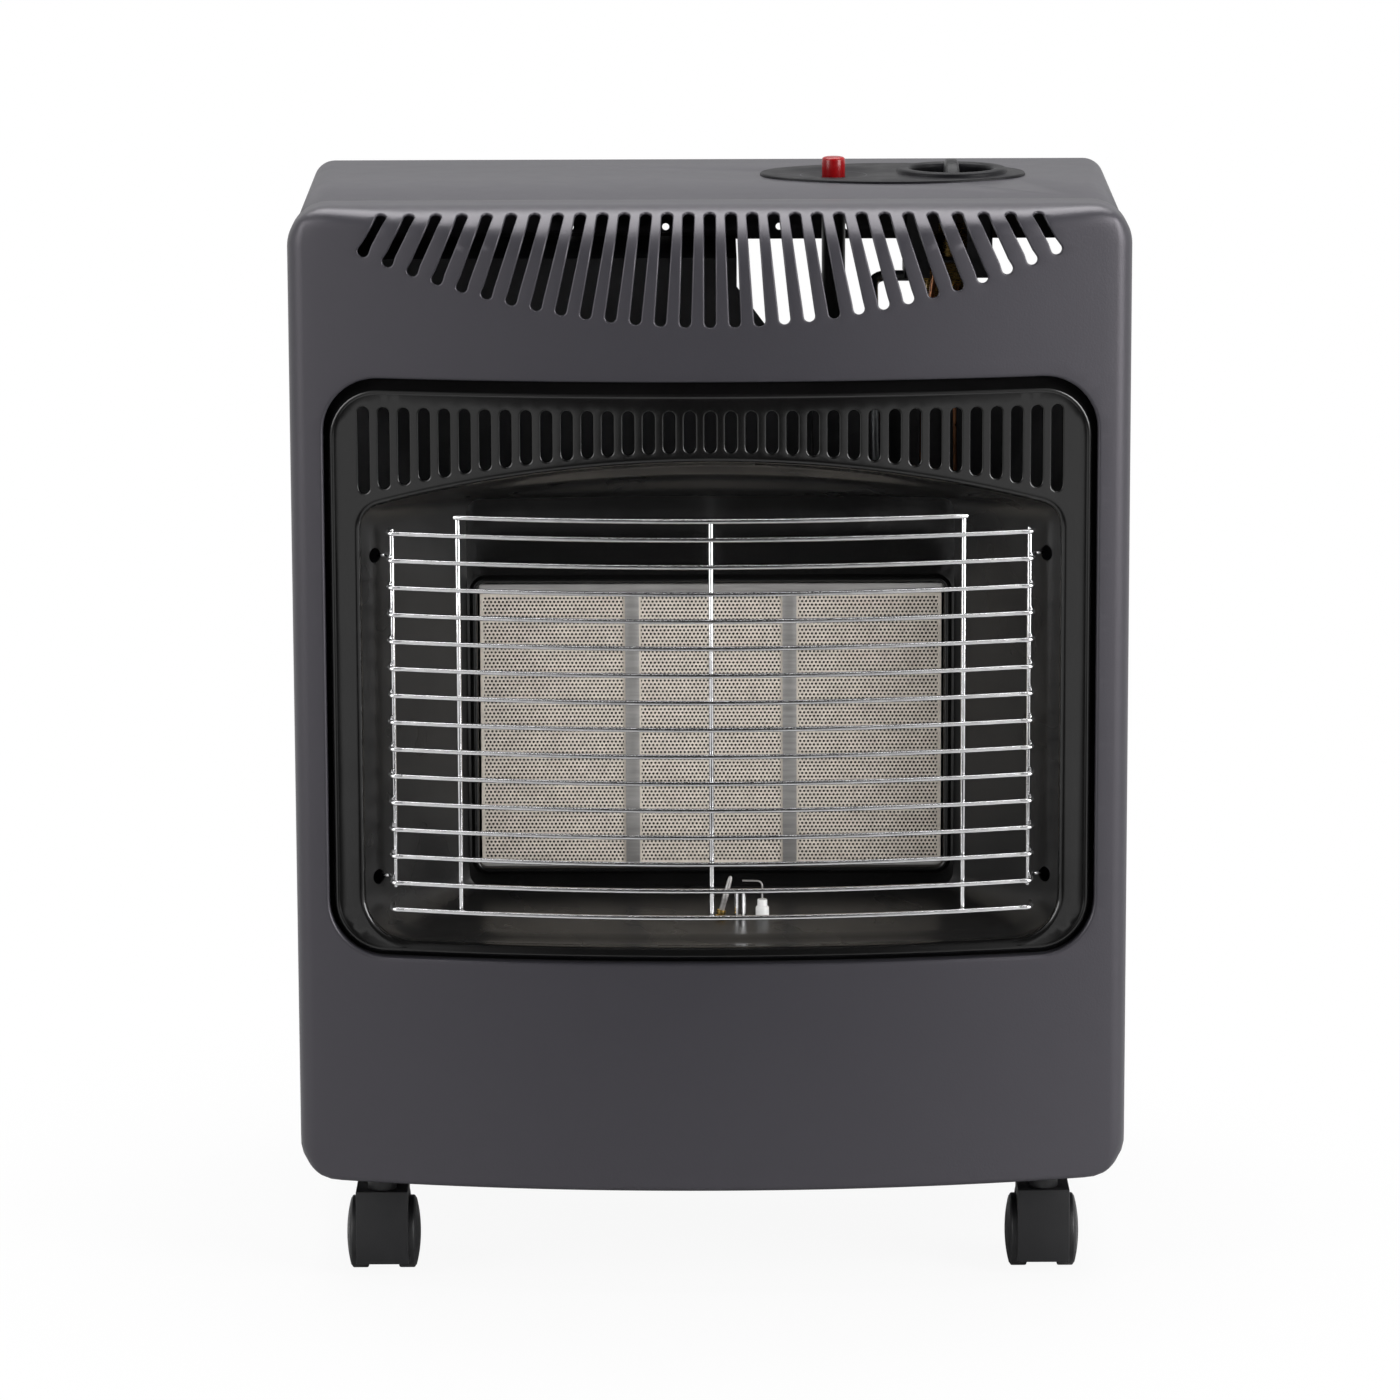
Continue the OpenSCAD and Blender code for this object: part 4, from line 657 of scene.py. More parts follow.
def bars(name, paths, radius, look, sides=12):
    """Round bars along paths of points in millimetres, as one mesh."""
    curve = bpy.data.curves.new(name, "CURVE")
    curve.dimensions = "3D"
    for path in paths:
        line = curve.splines.new("POLY")
        line.points.add(len(path) - 1)
        for q, p in zip(line.points, path):
            q.co = (*at(*p), 1)
    obj = linked(name, curve)
    grow(obj, bar_tree(), radius=radius * MM, sides=sides, material=finish(look))
    return settle(obj, 50)


# ---------------------------------------------------------------- forms of the heater

# Millimetres: radius of the bow that the sheets behind the panel follow, depth at which the panel's sides turn in,
# and distance that its roll starts before its face, so that the two blend.
PANEL_BOW, PANEL_SIDE, ROLL_AHEAD = 835.0, 60, 0.3
SLOT_EDGE = ((1, 0), (0.62, 0.04), (0.3, 0.22), (0.08, 0.5), (0, 0.85), (0, 1.5))   # share of the rim, depth
SUNK_EDGE = ((1, 0), (0.75, 0.02), (0.45, 0.16), (0.2, 0.45), (0.05, 0.9), (0, 1.5), (0, 2.8))
BEAD = ((-2.6, 0), (-2.2, -0.25), (-1.7, -0.55), (-1.2, -0.68), (-0.7, -0.60), (-0.3, -0.35), (0, 0.05),
        (0.25, 0.5), (0.5, 0.9))                 # section of the surround's bead: outward, back


def bow_y(x):
    """Distance of the panel's face from its foremost point."""
    return PANEL_BOW - math.sqrt(PANEL_BOW ** 2 - x * x)


def smooth_max(a, b, k):
    h = max(k - abs(a - b), 0.0) / k if k > 0 else 0.0
    return max(a, b) + h * h * k / 4


def disc(a, b):
    """Squeezes the corner of a square into a quarter of a disc."""
    return a * math.sqrt(1 - b * b / 2), b * math.sqrt(1 - a * a / 2)


class PanelForm:
    """The panel's face as a map from (length round the plan, length up the section) to the frame."""

    def __init__(self, s):
        self.bow, self.edge, self.roll = s.bow / MM, s.edge / MM, s.roll / MM
        self.top_r, self.low_r, self.foot = s.top_corner / MM, s.low_corner / MM, s.foot / MM
        self.half, self.top, self.low = PANEL_HALF, TOP_Z, PANEL_LOW
        self.cx = self.half - self.edge
        self.cy = self.bow - math.sqrt((self.bow - self.edge) ** 2 - self.cx ** 2)
        self.turn = math.asin(self.cx / (self.bow - self.edge))
        self.p1 = self.bow * self.turn
        self.p2 = self.p1 + self.edge * (math.pi / 2 - self.turn)
        self.p3 = self.p2 + PANEL_SIDE - self.cy
        self.s1 = self.top - self.roll
        self.s2 = self.s1 + self.roll * math.pi / 2
        self.s0 = self.low + self.foot
        self.s_low = self.s0 - self.foot * math.pi / 2

    def plan(self, x, z):
        """The map's coordinates of a point seen from the front."""
        s = z if z <= self.s1 else self.s1 + self.roll * math.asin(min(1, (z - self.s1) / self.roll))
        return self.bow * math.asin(x / self.bow), s

    def point(self, p, s):
        a = abs(p)
        if a <= self.p1:
            x, yb = self.bow * math.sin(a / self.bow), self.bow * (1 - math.cos(a / self.bow))
        elif a <= self.p2:
            t = (a - self.p1) / self.edge + self.turn
            x, yb = self.cx + self.edge * math.sin(t), self.cy - self.edge * math.cos(t)
        elif a <= self.p3:
            x, yb = self.half, self.cy + a - self.p2
        else:
            x, yb = self.half - a + self.p3, PANEL_SIDE
        back = 0.0
        yr = -ROLL_AHEAD
        if s > self.s2:
            z, yr = self.top, self.roll + s - self.s2
        elif s > self.s1:
            t = (s - self.s1) / self.roll
            z, yr = self.s1 + self.roll * math.sin(t), self.roll * (1 - math.cos(t)) - ROLL_AHEAD
        elif s >= self.s0:
            z = s
        elif s >= self.s_low:
            t = (self.s0 - s) / self.foot
            z, back = self.s0 - self.foot * math.sin(t), self.foot * (1 - math.cos(t))
        else:
            z, back = self.low, self.foot + self.s_low - s
        k = 1.5 + 14 * min(1, x / self.half) ** 1.5
        y = smooth_max(yb, yr, k) + back
        for r, mid, sign in ((self.top_r, self.top - self.top_r, 1), (self.low_r, self.low + self.low_r, -1)):
            u, v = (x - self.half + r) / r, sign * (z - mid) / r
            if u > 0 and v > 0:
                u, v = disc(min(u, 1), min(v, 1))
                x, z = self.half - r + u * r, mid + sign * v * r
        return at(math.copysign(x, p), y, z)

    def inward(self, p, s, depth):
        """A point at some depth behind the face."""
        a, b, c = self.point(p, s), self.point(p + 0.5, s), self.point(p, s + 0.5)
        return a - (b - a).cross(c - a).normalized() * depth * MM


def opening_loop(s, more=0.0):
    half, low = s.opening_width / MM / 2, s.opening_low / MM
    r = s.opening_corner / MM
    return rounded(half + more, low - more, low + s.opening_height / MM + more, r + more, r + more, (60, 44), 12)


class HEATER_OT_front_panel(bpy.types.Operator):
    """Make the bowed front panel with its fan of slots"""
    bl_idname = "heater.front_panel"
    bl_label = "Front panel"

    def execute(self, context):
        s = context.scene.heater_panel
        form = PanelForm(s)
        p_side, s_top = form.p3 + 2.2, form.s2 + s.flange / MM - form.roll
        ps = spread(-form.p1, form.p1, 7)
        bend = spread(form.p1, form.p2, 1.6)[1:]
        side = spread(form.p2, form.p3, 5)[1:] + [form.p3 + 1.1, p_side]
        ps = [-p for p in side[::-1] + bend[::-1]] + ps + bend + side
        foot = spread(form.s_low - 9, form.s_low, 3)[:-1] + spread(form.s_low, form.s0, 0.8)
        zs = foot + spread(form.s0, form.s1, 7)[1:] + spread(form.s1, form.s2, 3.2)[1:] + spread(form.s2, s_top, 6)[1:]
        near = [p for p in ps if abs(p) <= form.p2 + 1e-6]
        far_r, far_l = [p for p in ps if p > form.p2 + 1e-6], [p for p in ps if p < -form.p2 - 1e-6]
        below, above = [z for z in zs if z <= form.s2 + 1e-6], [z for z in zs if z > form.s2 + 1e-6]
        outer = [(p, zs[0]) for p in ps] + [(p_side, z) for z in below[1:]]
        outer += [(p, below[-1]) for p in far_r[-2::-1]] + [(near[-1], z) for z in [below[-1]] + above]
        outer += [(p, s_top) for p in near[-2::-1]] + [(near[0], z) for z in above[-2::-1] + [below[-1]]]
        outer += [(p, below[-1]) for p in far_l[::-1]] + [(-p_side, z) for z in below[-2:0:-1]]
        r = s.slot_width / MM / 2
        slots = []
        reach = s.slot_arc / MM
        for i in range(-s.slot_half, s.slot_half + 1):
            x, share = i * s.slot_pitch / MM, i / s.slot_half
            low = s.slot_low / MM + reach - math.sqrt(reach * reach - x * x) + r
            high = TOP_Z - s.slot_drop / MM - 1.8 - 0.4 * share * share
            slots.append((x, low, high, s.slot_tilt * share))
        rim = s.slot_rim / MM

        def slot(x, low, high, tilt, more):
            """A slot on the face, its lower end round from the front and its upper end round on the roll."""
            lean = math.tan(tilt)
            a, b = math.cos(tilt), math.sin(tilt)
            reach = r + more
            n = round((high - low) / 4)
            right, left = ([(x + way * reach * a - (z - low) * lean, z) for z in
                            [high - (high - low - way * reach * b) * i / n for i in range(n, -1, -1)]]
                           for way in (1, -1))
            top = form.plan(x - (high - low) * lean, high)
            cap = [(top[0] + reach * math.cos(t), top[1] + 1.35 * reach * math.sin(t))
                   for t in [math.pi * i / 12 for i in range(13)]]
            foot = [form.plan(x + reach * math.cos(t + tilt), low + reach * math.sin(t + tilt))
                    for t in [math.pi * (1 + i / 12) for i in range(13)]]
            return [form.plan(*q) for q in right[1:-1]] + cap + [form.plan(*q) for q in left[-2:0:-1]] + foot

        lip = s.lip / MM
        holes = [[form.plan(*q) for q in opening_loop(s, lip)]] + [slot(*q, rim) for q in slots]
        skin = Skin()
        points, faces = fill(outer, holes, grid(ps, zs), 2.0)
        skin.sheet([form.point(*q) for q in points], faces)
        skin.rows([[form.point(*form.plan(*q)) + Vector((0, back * MM, 0)) for q in opening_loop(s, more)]
                   for more, back in rolled(lip, 6) + [(0, 6), (0, 10)]])
        for q in slots:
            skin.rows([[form.inward(*w, back) for w in slot(*q, rim * share)] for share, back in SLOT_EDGE])
        skin.merge(2e-6)
        skin.face_front()
        obj = folded(skin.object("front_panel_sheet"), s.sheet)
        obj = soften(obj, 0.0003, 50, 40)
        deliver(obj, "satin_paint", "cabinet", ["front_panel"])
        return {"FINISHED"}


def bead_loop(s, p, more=0.0):
    """Outline of the surround's bead; its points match those of the opening."""
    half = p.opening_width / MM / 2 - s.gap / MM
    low = p.opening_low / MM + s.rise / MM
    high = (p.opening_low + p.opening_height) / MM - s.drop / MM
    r = (p.opening_corner - s.gap) / MM
    return rounded(half + more, low - more, high + more, r + more, r + more, (60, 44), 12)


def mouth_loop(s, more=0.0):
    return arched(s.mouth_half / MM + more, s.mouth_low / MM - more, s.mouth_top / MM + more,
                  s.mouth_arc / MM + more, 25 + more, 14 + more, (40, 40), 10)


def between(a, b, t):
    return [(p[0] + (q[0] - p[0]) * t, p[1] + (q[1] - p[1]) * t) for p, q in zip(a, b)]


class HEATER_OT_surround(bpy.types.Operator):
    """Make the enamelled surround with its arched row of slots"""
    bl_idname = "heater.surround"
    bl_label = "Surround"

    def execute(self, context):
        s, p = context.scene.heater_surround, context.scene.heater_panel
        face, turn = s.face / MM, 4.0

        def lay(loop, back):
            return [at(x, bow_y(x) + face + back, z) for x, z in loop]

        r = s.slot_width / MM / 2
        rim = 1.1
        slots = []
        reach = s.slot_arc / MM
        for i in range(-s.slot_half, s.slot_half + 1):
            x = i * s.slot_pitch / MM
            low = (s.mouth_top + s.slot_gap) / MM - reach + math.sqrt(reach * reach - x * x) + r
            slots.append((x, low, s.slot_top / MM - r))
        skin = Skin()
        outer = bead_loop(s, p, BEAD[0][0])
        holes = [mouth_loop(s, turn)] + [slot_loop(x, a, b, r + rim, 0, 8, 8) for x, a, b in slots]
        xs, zs = spread(-203, 203, 6), spread(186, 490, 6)
        points, faces = fill(outer, holes, grid(xs, zs), 2.2)
        skin.sheet(lay(points, 0), faces)
        # bead along the outside, sloping away behind the panel
        outside, last = opening_loop(p, 4.0), bead_loop(s, p, BEAD[-1][0])
        rows = [lay(bead_loop(s, p, more), back) for more, back in BEAD]
        rows += [lay(between(last, outside, share), back) for share, back in ((0.12, 3.0), (0.5, 5.2), (1, 7.2))]
        skin.rows(rows[::-1])
        # slots with rounded, sunk edges
        for x, a, b in slots:
            skin.rows([lay(slot_loop(x, a, b, r + rim * share, 0, 8, 8), back) for share, back in SUNK_EDGE])
        # mouth
        skin.rows([lay(mouth_loop(s, more), back) for more, back in rolled(turn, 8)])
        skin.merge(2e-6)
        skin.face_front()
        obj = folded(skin.object("enamel_surround_sheet"), 0.0008, 50)
        deliver(obj, "black_enamel", "cabinet", ["enamel_surround"])
        return {"FINISHED"}


def fire_loop(more=0.0, b=None):
    """Outline of the firebox at the burner; its points match those of the mouth."""
    half = (3 * b.width + 2 * b.strip) / MM / 2 + 7
    low, high = b.low / MM - 13, (b.low + b.height + b.hood) / MM
    return arched(half + more, low - more, high + more, 6000, 8 + more, 8 + more, (40, 40), 10)


# Millimetres: heights at which the hood starts and the sill's trough ends, half the hood's width; parts of the depth
HOOD_FOOT, SILL, HOOD_HALF, FUNNEL_PARTS = 440, 200, 175, 28


class HEATER_OT_firebox(bpy.types.Operator):
    """Make the enamelled walls of the firebox"""
    bl_idname = "heater.firebox"
    bl_label = "Firebox"

    def execute(self, context):
        s, b, g = context.scene.heater_surround, context.scene.heater_burner, context.scene.heater_guard
        front, back = mouth_loop(s), fire_loop(0, b)
        start, depth = s.face / MM + 4.0, s.burner_y / MM
        n = len(front)
        span = [0.0]
        for i in range(n):
            q, w = front[i], front[(i + 1) % n]
            span.append(span[-1] + math.hypot(w[0] - q[0], w[1] - q[1]))

        def along(u):
            """Front and back point at length u round the mouth."""
            i = max(0, min(bisect_right(span, u), n) - 1)
            j, t = (i + 1) % n, (u - span[i]) / (span[i + 1] - span[i])
            return tuple((q[i][0] + (q[j][0] - q[i][0]) * t, q[i][1] + (q[j][1] - q[i][1]) * t)
                         for q in (front, back))

        def lay(u, v):
            (fx, fz), (bx, bz) = along(u)
            y0 = bow_y(fx) + start
            t = v / depth
            x, z = fx + (bx - fx) * t, fz + (bz - fz) * t
            # stepped hood over the flames
            if fz > HOOD_FOOT:
                hood = min(1, (fz - HOOD_FOOT) / 8) * max(0, 1 - abs(x) / HOOD_HALF) ** 0.5
                z += hood * (4.0 * (smooth(t, 0.06, 0.12) - smooth(t, 0.26, 0.34))
                             + 4.5 * (smooth(t, 0.40, 0.48) - smooth(t, 0.72, 0.82)))
            # shallow trough behind the sill
            if fz < SILL:
                z -= 1.7 * math.sin(math.pi * min(1, t / 0.17)) * min(1, (SILL - fz) / 6)
            return at(x, y0 + (depth - y0) * t, z)

        steps = [depth * i / FUNNEL_PARTS for i in range(FUNNEL_PARTS + 1)]
        outer = [(u, 0) for u in span[:-1]] + [(span[n], v) for v in steps[:-1]]
        outer += [(u, depth) for u in span[:0:-1]] + [(0, v) for v in steps[:0:-1]]
        # oval holes for the guard's hooks
        edge_y = hook_line(g)
        holes = []
        for k in (1, g.wires - 2):
            z = (g.low + k * g.pitch) / MM
            for sign in (1, -1):
                best = min(((abs(lay_z(along(u), (edge_y + 14 - 24) / 67) - z), u) for u in
                            [span[n] * i / 2000 for i in range(2000)]
                            if along(u)[0][0] * sign > s.mouth_half / MM - 1), key=lambda q: q[0])
                (fx, _), _ = along(best[1])
                y0 = bow_y(fx) + start
                v = depth * (edge_y + 15.5 - y0) / (depth - y0)
                holes.append(circle(best[1], v, 4.2, 20, 4.8))
        skin = Skin()
        points, faces = fill(outer, holes, grid(span[1:-1], steps[1:-1]), 1.2)
        skin.sheet([lay(*q) for q in points], faces)
        skin.merge(2e-5)
        skin.outward()
        obj = skin.object("firebox_liner_sheet")
        # faces look into the firebox
        bm = bmesh.new()
        bm.from_mesh(obj.data)
        bm.normal_update()
        centre = Vector((0, FRONT_Y + 0.05, 0.30))
        if sum((f.calc_center_median() - centre).dot(f.normal) * f.calc_area() for f in bm.faces) > 0:
            bmesh.ops.reverse_faces(bm, faces=bm.faces)
        bm.to_mesh(obj.data)
        bm.free()
        obj = folded(obj, 0.001, 50)
        deliver(obj, "liner_enamel", "cabinet", ["firebox_liner"])
        return {"FINISHED"}


def smooth(t, a, b):
    """Rises softly from 0 at a to 1 at b."""
    t = max(0, min(1, (t - a) / (b - a)))
    return t * t * (3 - 2 * t)


def lay_z(pair, t):
    (_, fz), (_, bz) = pair
    return fz + (bz - fz) * t


def hook_line(g):
    """Depth at which the wires' ends turn back."""
    half, bow = g.half / MM, g.bow / MM
    return g.wire / MM - g.out / MM + bow - math.sqrt(bow * bow - half * half)


FRAME_LIP = ((6, 0), (5.2, -0.3), (4.6, -1.2), (4.2, -2.6), (3.4, -3.2), (2.4, -3.2), (1.6, -2.6), (1.2, 0),
             (1.2, 1.0))                         # section of the lip round the plaques: outward, back


class HEATER_OT_burner(bpy.types.Operator):
    """Make the burner's frame, its steel strips and the perforated plaques"""
    bl_idname = "heater.burner"
    bl_label = "Burner"

    def execute(self, context):
        b, s = context.scene.heater_burner, context.scene.heater_surround
        w, h, low, strip = b.width / MM, b.height / MM, b.low / MM, b.strip / MM
        whole = 3 * w + 2 * strip
        y0 = s.burner_y / MM + 0.1
        # black back plate with a turned lip round the plaques
        skin = Skin()

        def flat(loop, y):
            return [at(x, y, z) for x, z in loop]

        def window(more):
            r = 3 + max(0, more)
            return rounded(whole / 2 + more, low - more, low + h + 4 + more, r, r, (30, 20), 6)

        outer = rounded(whole / 2 + 13, low - 19, low + h + b.hood / MM + 5, 8, 8, (30, 20), 8)
        points, faces = fill(outer, [window(6)], [], 1)
        skin.sheet(flat(points, y0), faces)
        skin.rows([flat(window(more), y0 + back) for more, back in FRAME_LIP])
        skin.merge(2e-6)
        skin.face_front()
        plate = skin.object("burner_plate")
        thicken(plate, 0.0008)
        plate = settle(plate, 45)
        deliver(plate, "black_enamel", "cabinet", ["burner_frame"])
        # steel strips between and over the plaques
        skin = Skin()
        face_y = y0 + 1.3
        for x in (-1, 1):
            strip_bar(skin, x * (w + strip) / 2, strip + 1.6, low - 1, low + h + 1, face_y - 1.0, face_y + 1.0)
        strip_bar(skin, 0, whole + 1, low + h - 0.6, low + h + 4.4, face_y - 1.4, face_y + 0.9, across=True)
        strip_bar(skin, 0, whole + 1, low - 2.4, low + 0.4, face_y - 0.6, face_y + 0.9, across=True)
        skin.outward()
        strips = soften(skin.object("burner_strips"), 0.0003)
        deliver(strips, "steel_sheet", "cabinet", ())
        # plaques
        tile = hole_tile(b)
        for name, i in (("plaque_left", -1), ("plaque_centre", 0), ("plaque_right", 1)):
            x0, x1 = i * (w + strip) - w / 2, i * (w + strip) + w / 2
            m = 0.6
            columns = int((w - 2 * m) / (b.hole_pitch / MM))
            rows = int((h - 2 * m - 1.5) / (b.row_pitch / MM))
            fx0 = (x0 + x1) / 2 - (columns + 0.5) * b.hole_pitch / MM / 2
            fz0 = low + (h - 1.5) / 2 - rows * b.row_pitch / MM / 2
            body = Skin()
            fy = face_y + 0.02
            ring = [(x0, low), (x1, low), (x1, low + h), (x0, low + h)]
            left, right = fx0 + b.hole_pitch / MM / 2, fx0 + columns * b.hole_pitch / MM
            upper = fz0 + rows * b.row_pitch / MM
            keep = [(left, fz0), (right, fz0), (right, upper), (left, upper)]
            body.rows([flat(keep, fy + 6), flat(keep, fy - 0.06), flat(ring, fy - 0.06), flat(ring, fy + 11.8)])
            body.bm.verts.ensure_lookup_table()
            body.cap([body.bm.verts[k] for k in (3, 2, 1, 0)])
            body.cap([body.bm.verts[k] for k in (12, 13, 14, 15)])
            body.merge()
            body.outward()
            obj = body.object(name + "_ceramic")
            corner = at(left, fy, fz0 + b.row_pitch / MM / 2)
            grow(obj, scatter_tree(), tile=tile, columns=columns, rows=rows, hole_pitch=b.hole_pitch,
                 row_pitch=b.row_pitch, corner=tuple(corner), material=finish("plaque_ceramic"))
            deliver(settle(obj, 30), "plaque_ceramic", "cabinet", [name])
        bpy.data.objects.remove(tile)
        return {"FINISHED"}


def strip_bar(skin, x, w, low, high, y0, y1, across=False):
    """A flat bar of sheet, as a closed box."""
    ring = [(x - w / 2, low), (x + w / 2, low), (x + w / 2, high), (x - w / 2, high)]
    rows = skin.rows([[at(a, y1, c) for a, c in ring], [at(a, y0, c) for a, c in ring]])
    skin.cap(rows[0])
    skin.cap(rows[1], True)


def hole_tile(b):
    """One cell of a plaque's face: a rectangle with mid points, round a tapered hole."""
    p, q, r = b.hole_pitch / 2, b.row_pitch / 2, b.hole
    skin = Skin()
    n = 8
    ring = circle(0, 0, r, n, turn=0.5)
    rim = [(-p, -q), (0, -q), (p, -q), (p, q), (0, q), (-p, q)]
    points, faces = fill(rim, [ring], [], 1)
    skin.sheet([Vector((x, 0, z)) for x, z in points], faces)
    skin.rows([[Vector((x, 0, z)) for x, z in ring], [Vector((x * 0.94, 0.0006, z * 0.94)) for x, z in ring],
               [Vector((x * 0.8, b.deep, z * 0.8)) for x, z in ring]])
    skin.merge(1e-7)
    skin.bm.verts.ensure_lookup_table()
    deep = sorted((v for v in skin.bm.verts if v.co.y > b.deep * 0.9), key=lambda v: math.atan2(v.co.z, v.co.x))
    skin.cap(deep)
    skin.face_front()
    return skin.object("hole_tile")


# Ends of the wires: sideways and back from the end of the bow, plain and hooked into the firebox
WIRE_END = ((1.2, -0.4), (2.5, 2.4), (2.5, 13.4))
WIRE_HOOK = ((1.2, -0.4), (2.5, 2.4), (2.5, 14), (3.5, 18), (9, 19.5))


class HEATER_OT_guard(bpy.types.Operator):
    """Make the bowed wire guard with its hooks"""
    bl_idname = "heater.guard"
    bl_label = "Wire guard"

    def execute(self, context):
        g = context.scene.heater_guard
        wire, bow, half = g.wire / MM, g.bow / MM, g.half / MM
        front = wire - g.out / MM
        edge_y = hook_line(g)
        paths = []

        def bowed(x, z, back=0.0):
            return x, front + back + bow - math.sqrt(bow * bow - x * x), z

        for i in range(g.wires):
            z = (g.low + i * g.pitch) / MM
            middle = [bowed((half - 4) * k / 20, z) for k in range(21)]
            end = WIRE_HOOK if i in (1, g.wires - 2) else WIRE_END
            end = [(half + x, edge_y + y, z) for x, y in end]
            half_path = middle[:-1] + bent([middle[-2], middle[-1]] + end, 3.0, 4)[1:]
            paths.append([(-x, y, c) for x, y, c in half_path[:0:-1]] + half_path)
        low, top = g.low / MM, (g.low + (g.wires - 1) * g.pitch) / MM
        behind = 2 * wire - 0.35
        up = g.upright / MM
        for x in (-up, 0, up):
            paths.append([bowed(x, low - 1, behind), bowed(x, (low + top) / 2, behind), bowed(x, top + 11, behind)])
        paths.append([bowed((up + 2) * k / 16, top + 10) for k in range(-16, 17)])
        for s in (-1, 1):
            x = s * (half + 2.5 - wire)
            paths.append([(x, edge_y + 14.6, low + 9), (x, edge_y + 14.6, top + 0.3)])
        obj = soften(bars("wire_guard_bars", paths, wire, "bright_wire", 14), 0.0004, 60, 50)
        deliver(obj, "bright_wire", "cabinet", ["wire_guard"])
        return {"FINISHED"}


def turned(name, profile, centre, n):
    """A closed turned form about an upright axis, from (radius, height) points."""
    skin = Skin()
    skin.lathe([(max(r, 0.0001), h) for r, h in profile], centre, "z", n)
    skin.merge(2e-6)
    skin.outward()
    return skin.object(name)


PILOT_X, PILOT_Y, PILOT_Z = 15.5, 48.0, 197.5    # seat of the pilot, in millimetres
PROBE_X, SPARK_X = -11.5, 12                     # thermocouple and electrode beside it
FITTING = [(0, -9), (2.6, -9), (3.0, -8.6)]      # lower end of a screwed foot


class HEATER_OT_pilot(bpy.types.Operator):
    """Make the pilot tube, the thermocouple, the spark electrode and their pipes"""
    bl_idname = "heater.pilot"
    bl_label = "Pilot"

    def execute(self, context):
        base = at(PILOT_X, PILOT_Y, PILOT_Z)
        # slit tube: two half shells on a foot
        skin = Skin()
        low, top, r, wall = -1.4, 15.7, 3.5, 0.9
        for side in (-1, 1):
            a0 = math.asin(0.9 / r)
            ring_o = [(math.sin(a) * r * side, -math.cos(a) * r)
                      for a in [a0 + (math.pi - 2 * a0) * i / 20 for i in range(21)]]
            ring_i = [(x * (r - wall) / r, y * (r - wall) / r) for x, y in ring_o[::-1]]
            ring = ring_o + ring_i
            rows = skin.rows([[base + Vector((x, y, z)) * MM for x, y in ring] for z in (2.0, 8.0, top - 0.4, top)])
            for row in (rows[0], rows[-1]):
                m = len(row)
                for i in range(m // 2 - 1):
                    skin.face([row[i], row[i + 1], row[m - 2 - i], row[m - 1 - i]])
        skin.outward()
        tube = skin.object("pilot_tube_top")
        foot = turned("pilot_tube_foot", FITTING + [
            (3.0, low), (r, low), (r, 2.6), (r - 0.9, 3.0), (0, 3.0)], base, 32)
        obj = soften(joined("pilot_tube", [tube, foot]), 0.00015, 50)
        deliver(obj, "bright_wire", "cabinet", ["pilot_burner"])
        # thermocouple: hexagon foot and a tilted probe
        tc = at(PILOT_X + PROBE_X, PILOT_Y, PILOT_Z)
        lean = Matrix.Translation(tc) @ Matrix.Rotation(math.radians(15), 4, "Y")
        nut = turned("probe_nut", [
            (0, -0.6), (2.4, -0.6), (2.75, -0.2), (2.75, 1.8), (2.3, 2.2), (1.9, 2.4), (1.9, 2.9), (2.4, 3.1),
            (2.6, 3.4), (2.6, 5.2), (2.2, 5.6), (0, 5.6)], (0, 0, 0), 6)
        nut.data.transform(lean)
        foot = turned("probe_foot", FITTING + [(3.0, -0.6), (2.6, 0.3), (0, 0.3)], tc, 24)
        foot = soften(joined("probe_foot", [foot, nut]), 0.00015)
        foot.name = "thermocouple_nut"
        deliver(foot, "machined_brass", "cabinet", ())
        obj = turned("thermocouple_probe", [
            (0, 1), (1.55, 1), (1.55, 11.0), (1.75, 11.4), (1.75, 15.0), (1.5, 15.6), (1.25, 22.8),
            (1.0, 24.2), (0.5, 24.8), (0, 24.9)], (0, 0, 0), 32)
        obj.data.transform(lean)
        deliver(settle(obj), "steel_sheet", "cabinet", ["thermocouple"])
        # spark electrode
        sx, py, pz = PILOT_X + SPARK_X, PILOT_Y, PILOT_Z
        obj = turned("electrode_porcelain", [
            (0.5, -14), (2.9, -14), (3.25, -13.6), (3.25, -1.4), (3.5, -1.3), (3.65, -1.0), (3.65, 6.6), (3.3, 7.3),
            (2.8, 7.6), (2.7, 8.1), (2.7, 10.8), (2.4, 11.2), (0.5, 11.2), (0.5, 4.0), (0.5, -14)],
            at(sx, py, pz), 40)
        deliver(settle(obj, 40), "porcelain", "cabinet", ["electrode_ceramic"])
        route = bent([(sx, py, pz - 18), (sx, py, pz + 21.3), (PILOT_X + 1.2, py, pz + 21.5)], 3.2, 6)
        obj = bars("electrode_rod", [route], 0.48, "steel_sheet", 12)
        deliver(obj, "steel_sheet", "cabinet", ["electrode_wire"])
        dress("pilot_bracket", "cabinet", "zinc_plate", 0.0002)
        return {"FINISHED"}


def joined(name, objects):
    """One object from the meshes of several, which are removed; their modifiers are not applied."""
    skin = Skin()
    for o in objects:
        o.data.update()
        skin.bm.from_mesh(o.data)
        bpy.data.objects.remove(o)
    return skin.object(name)


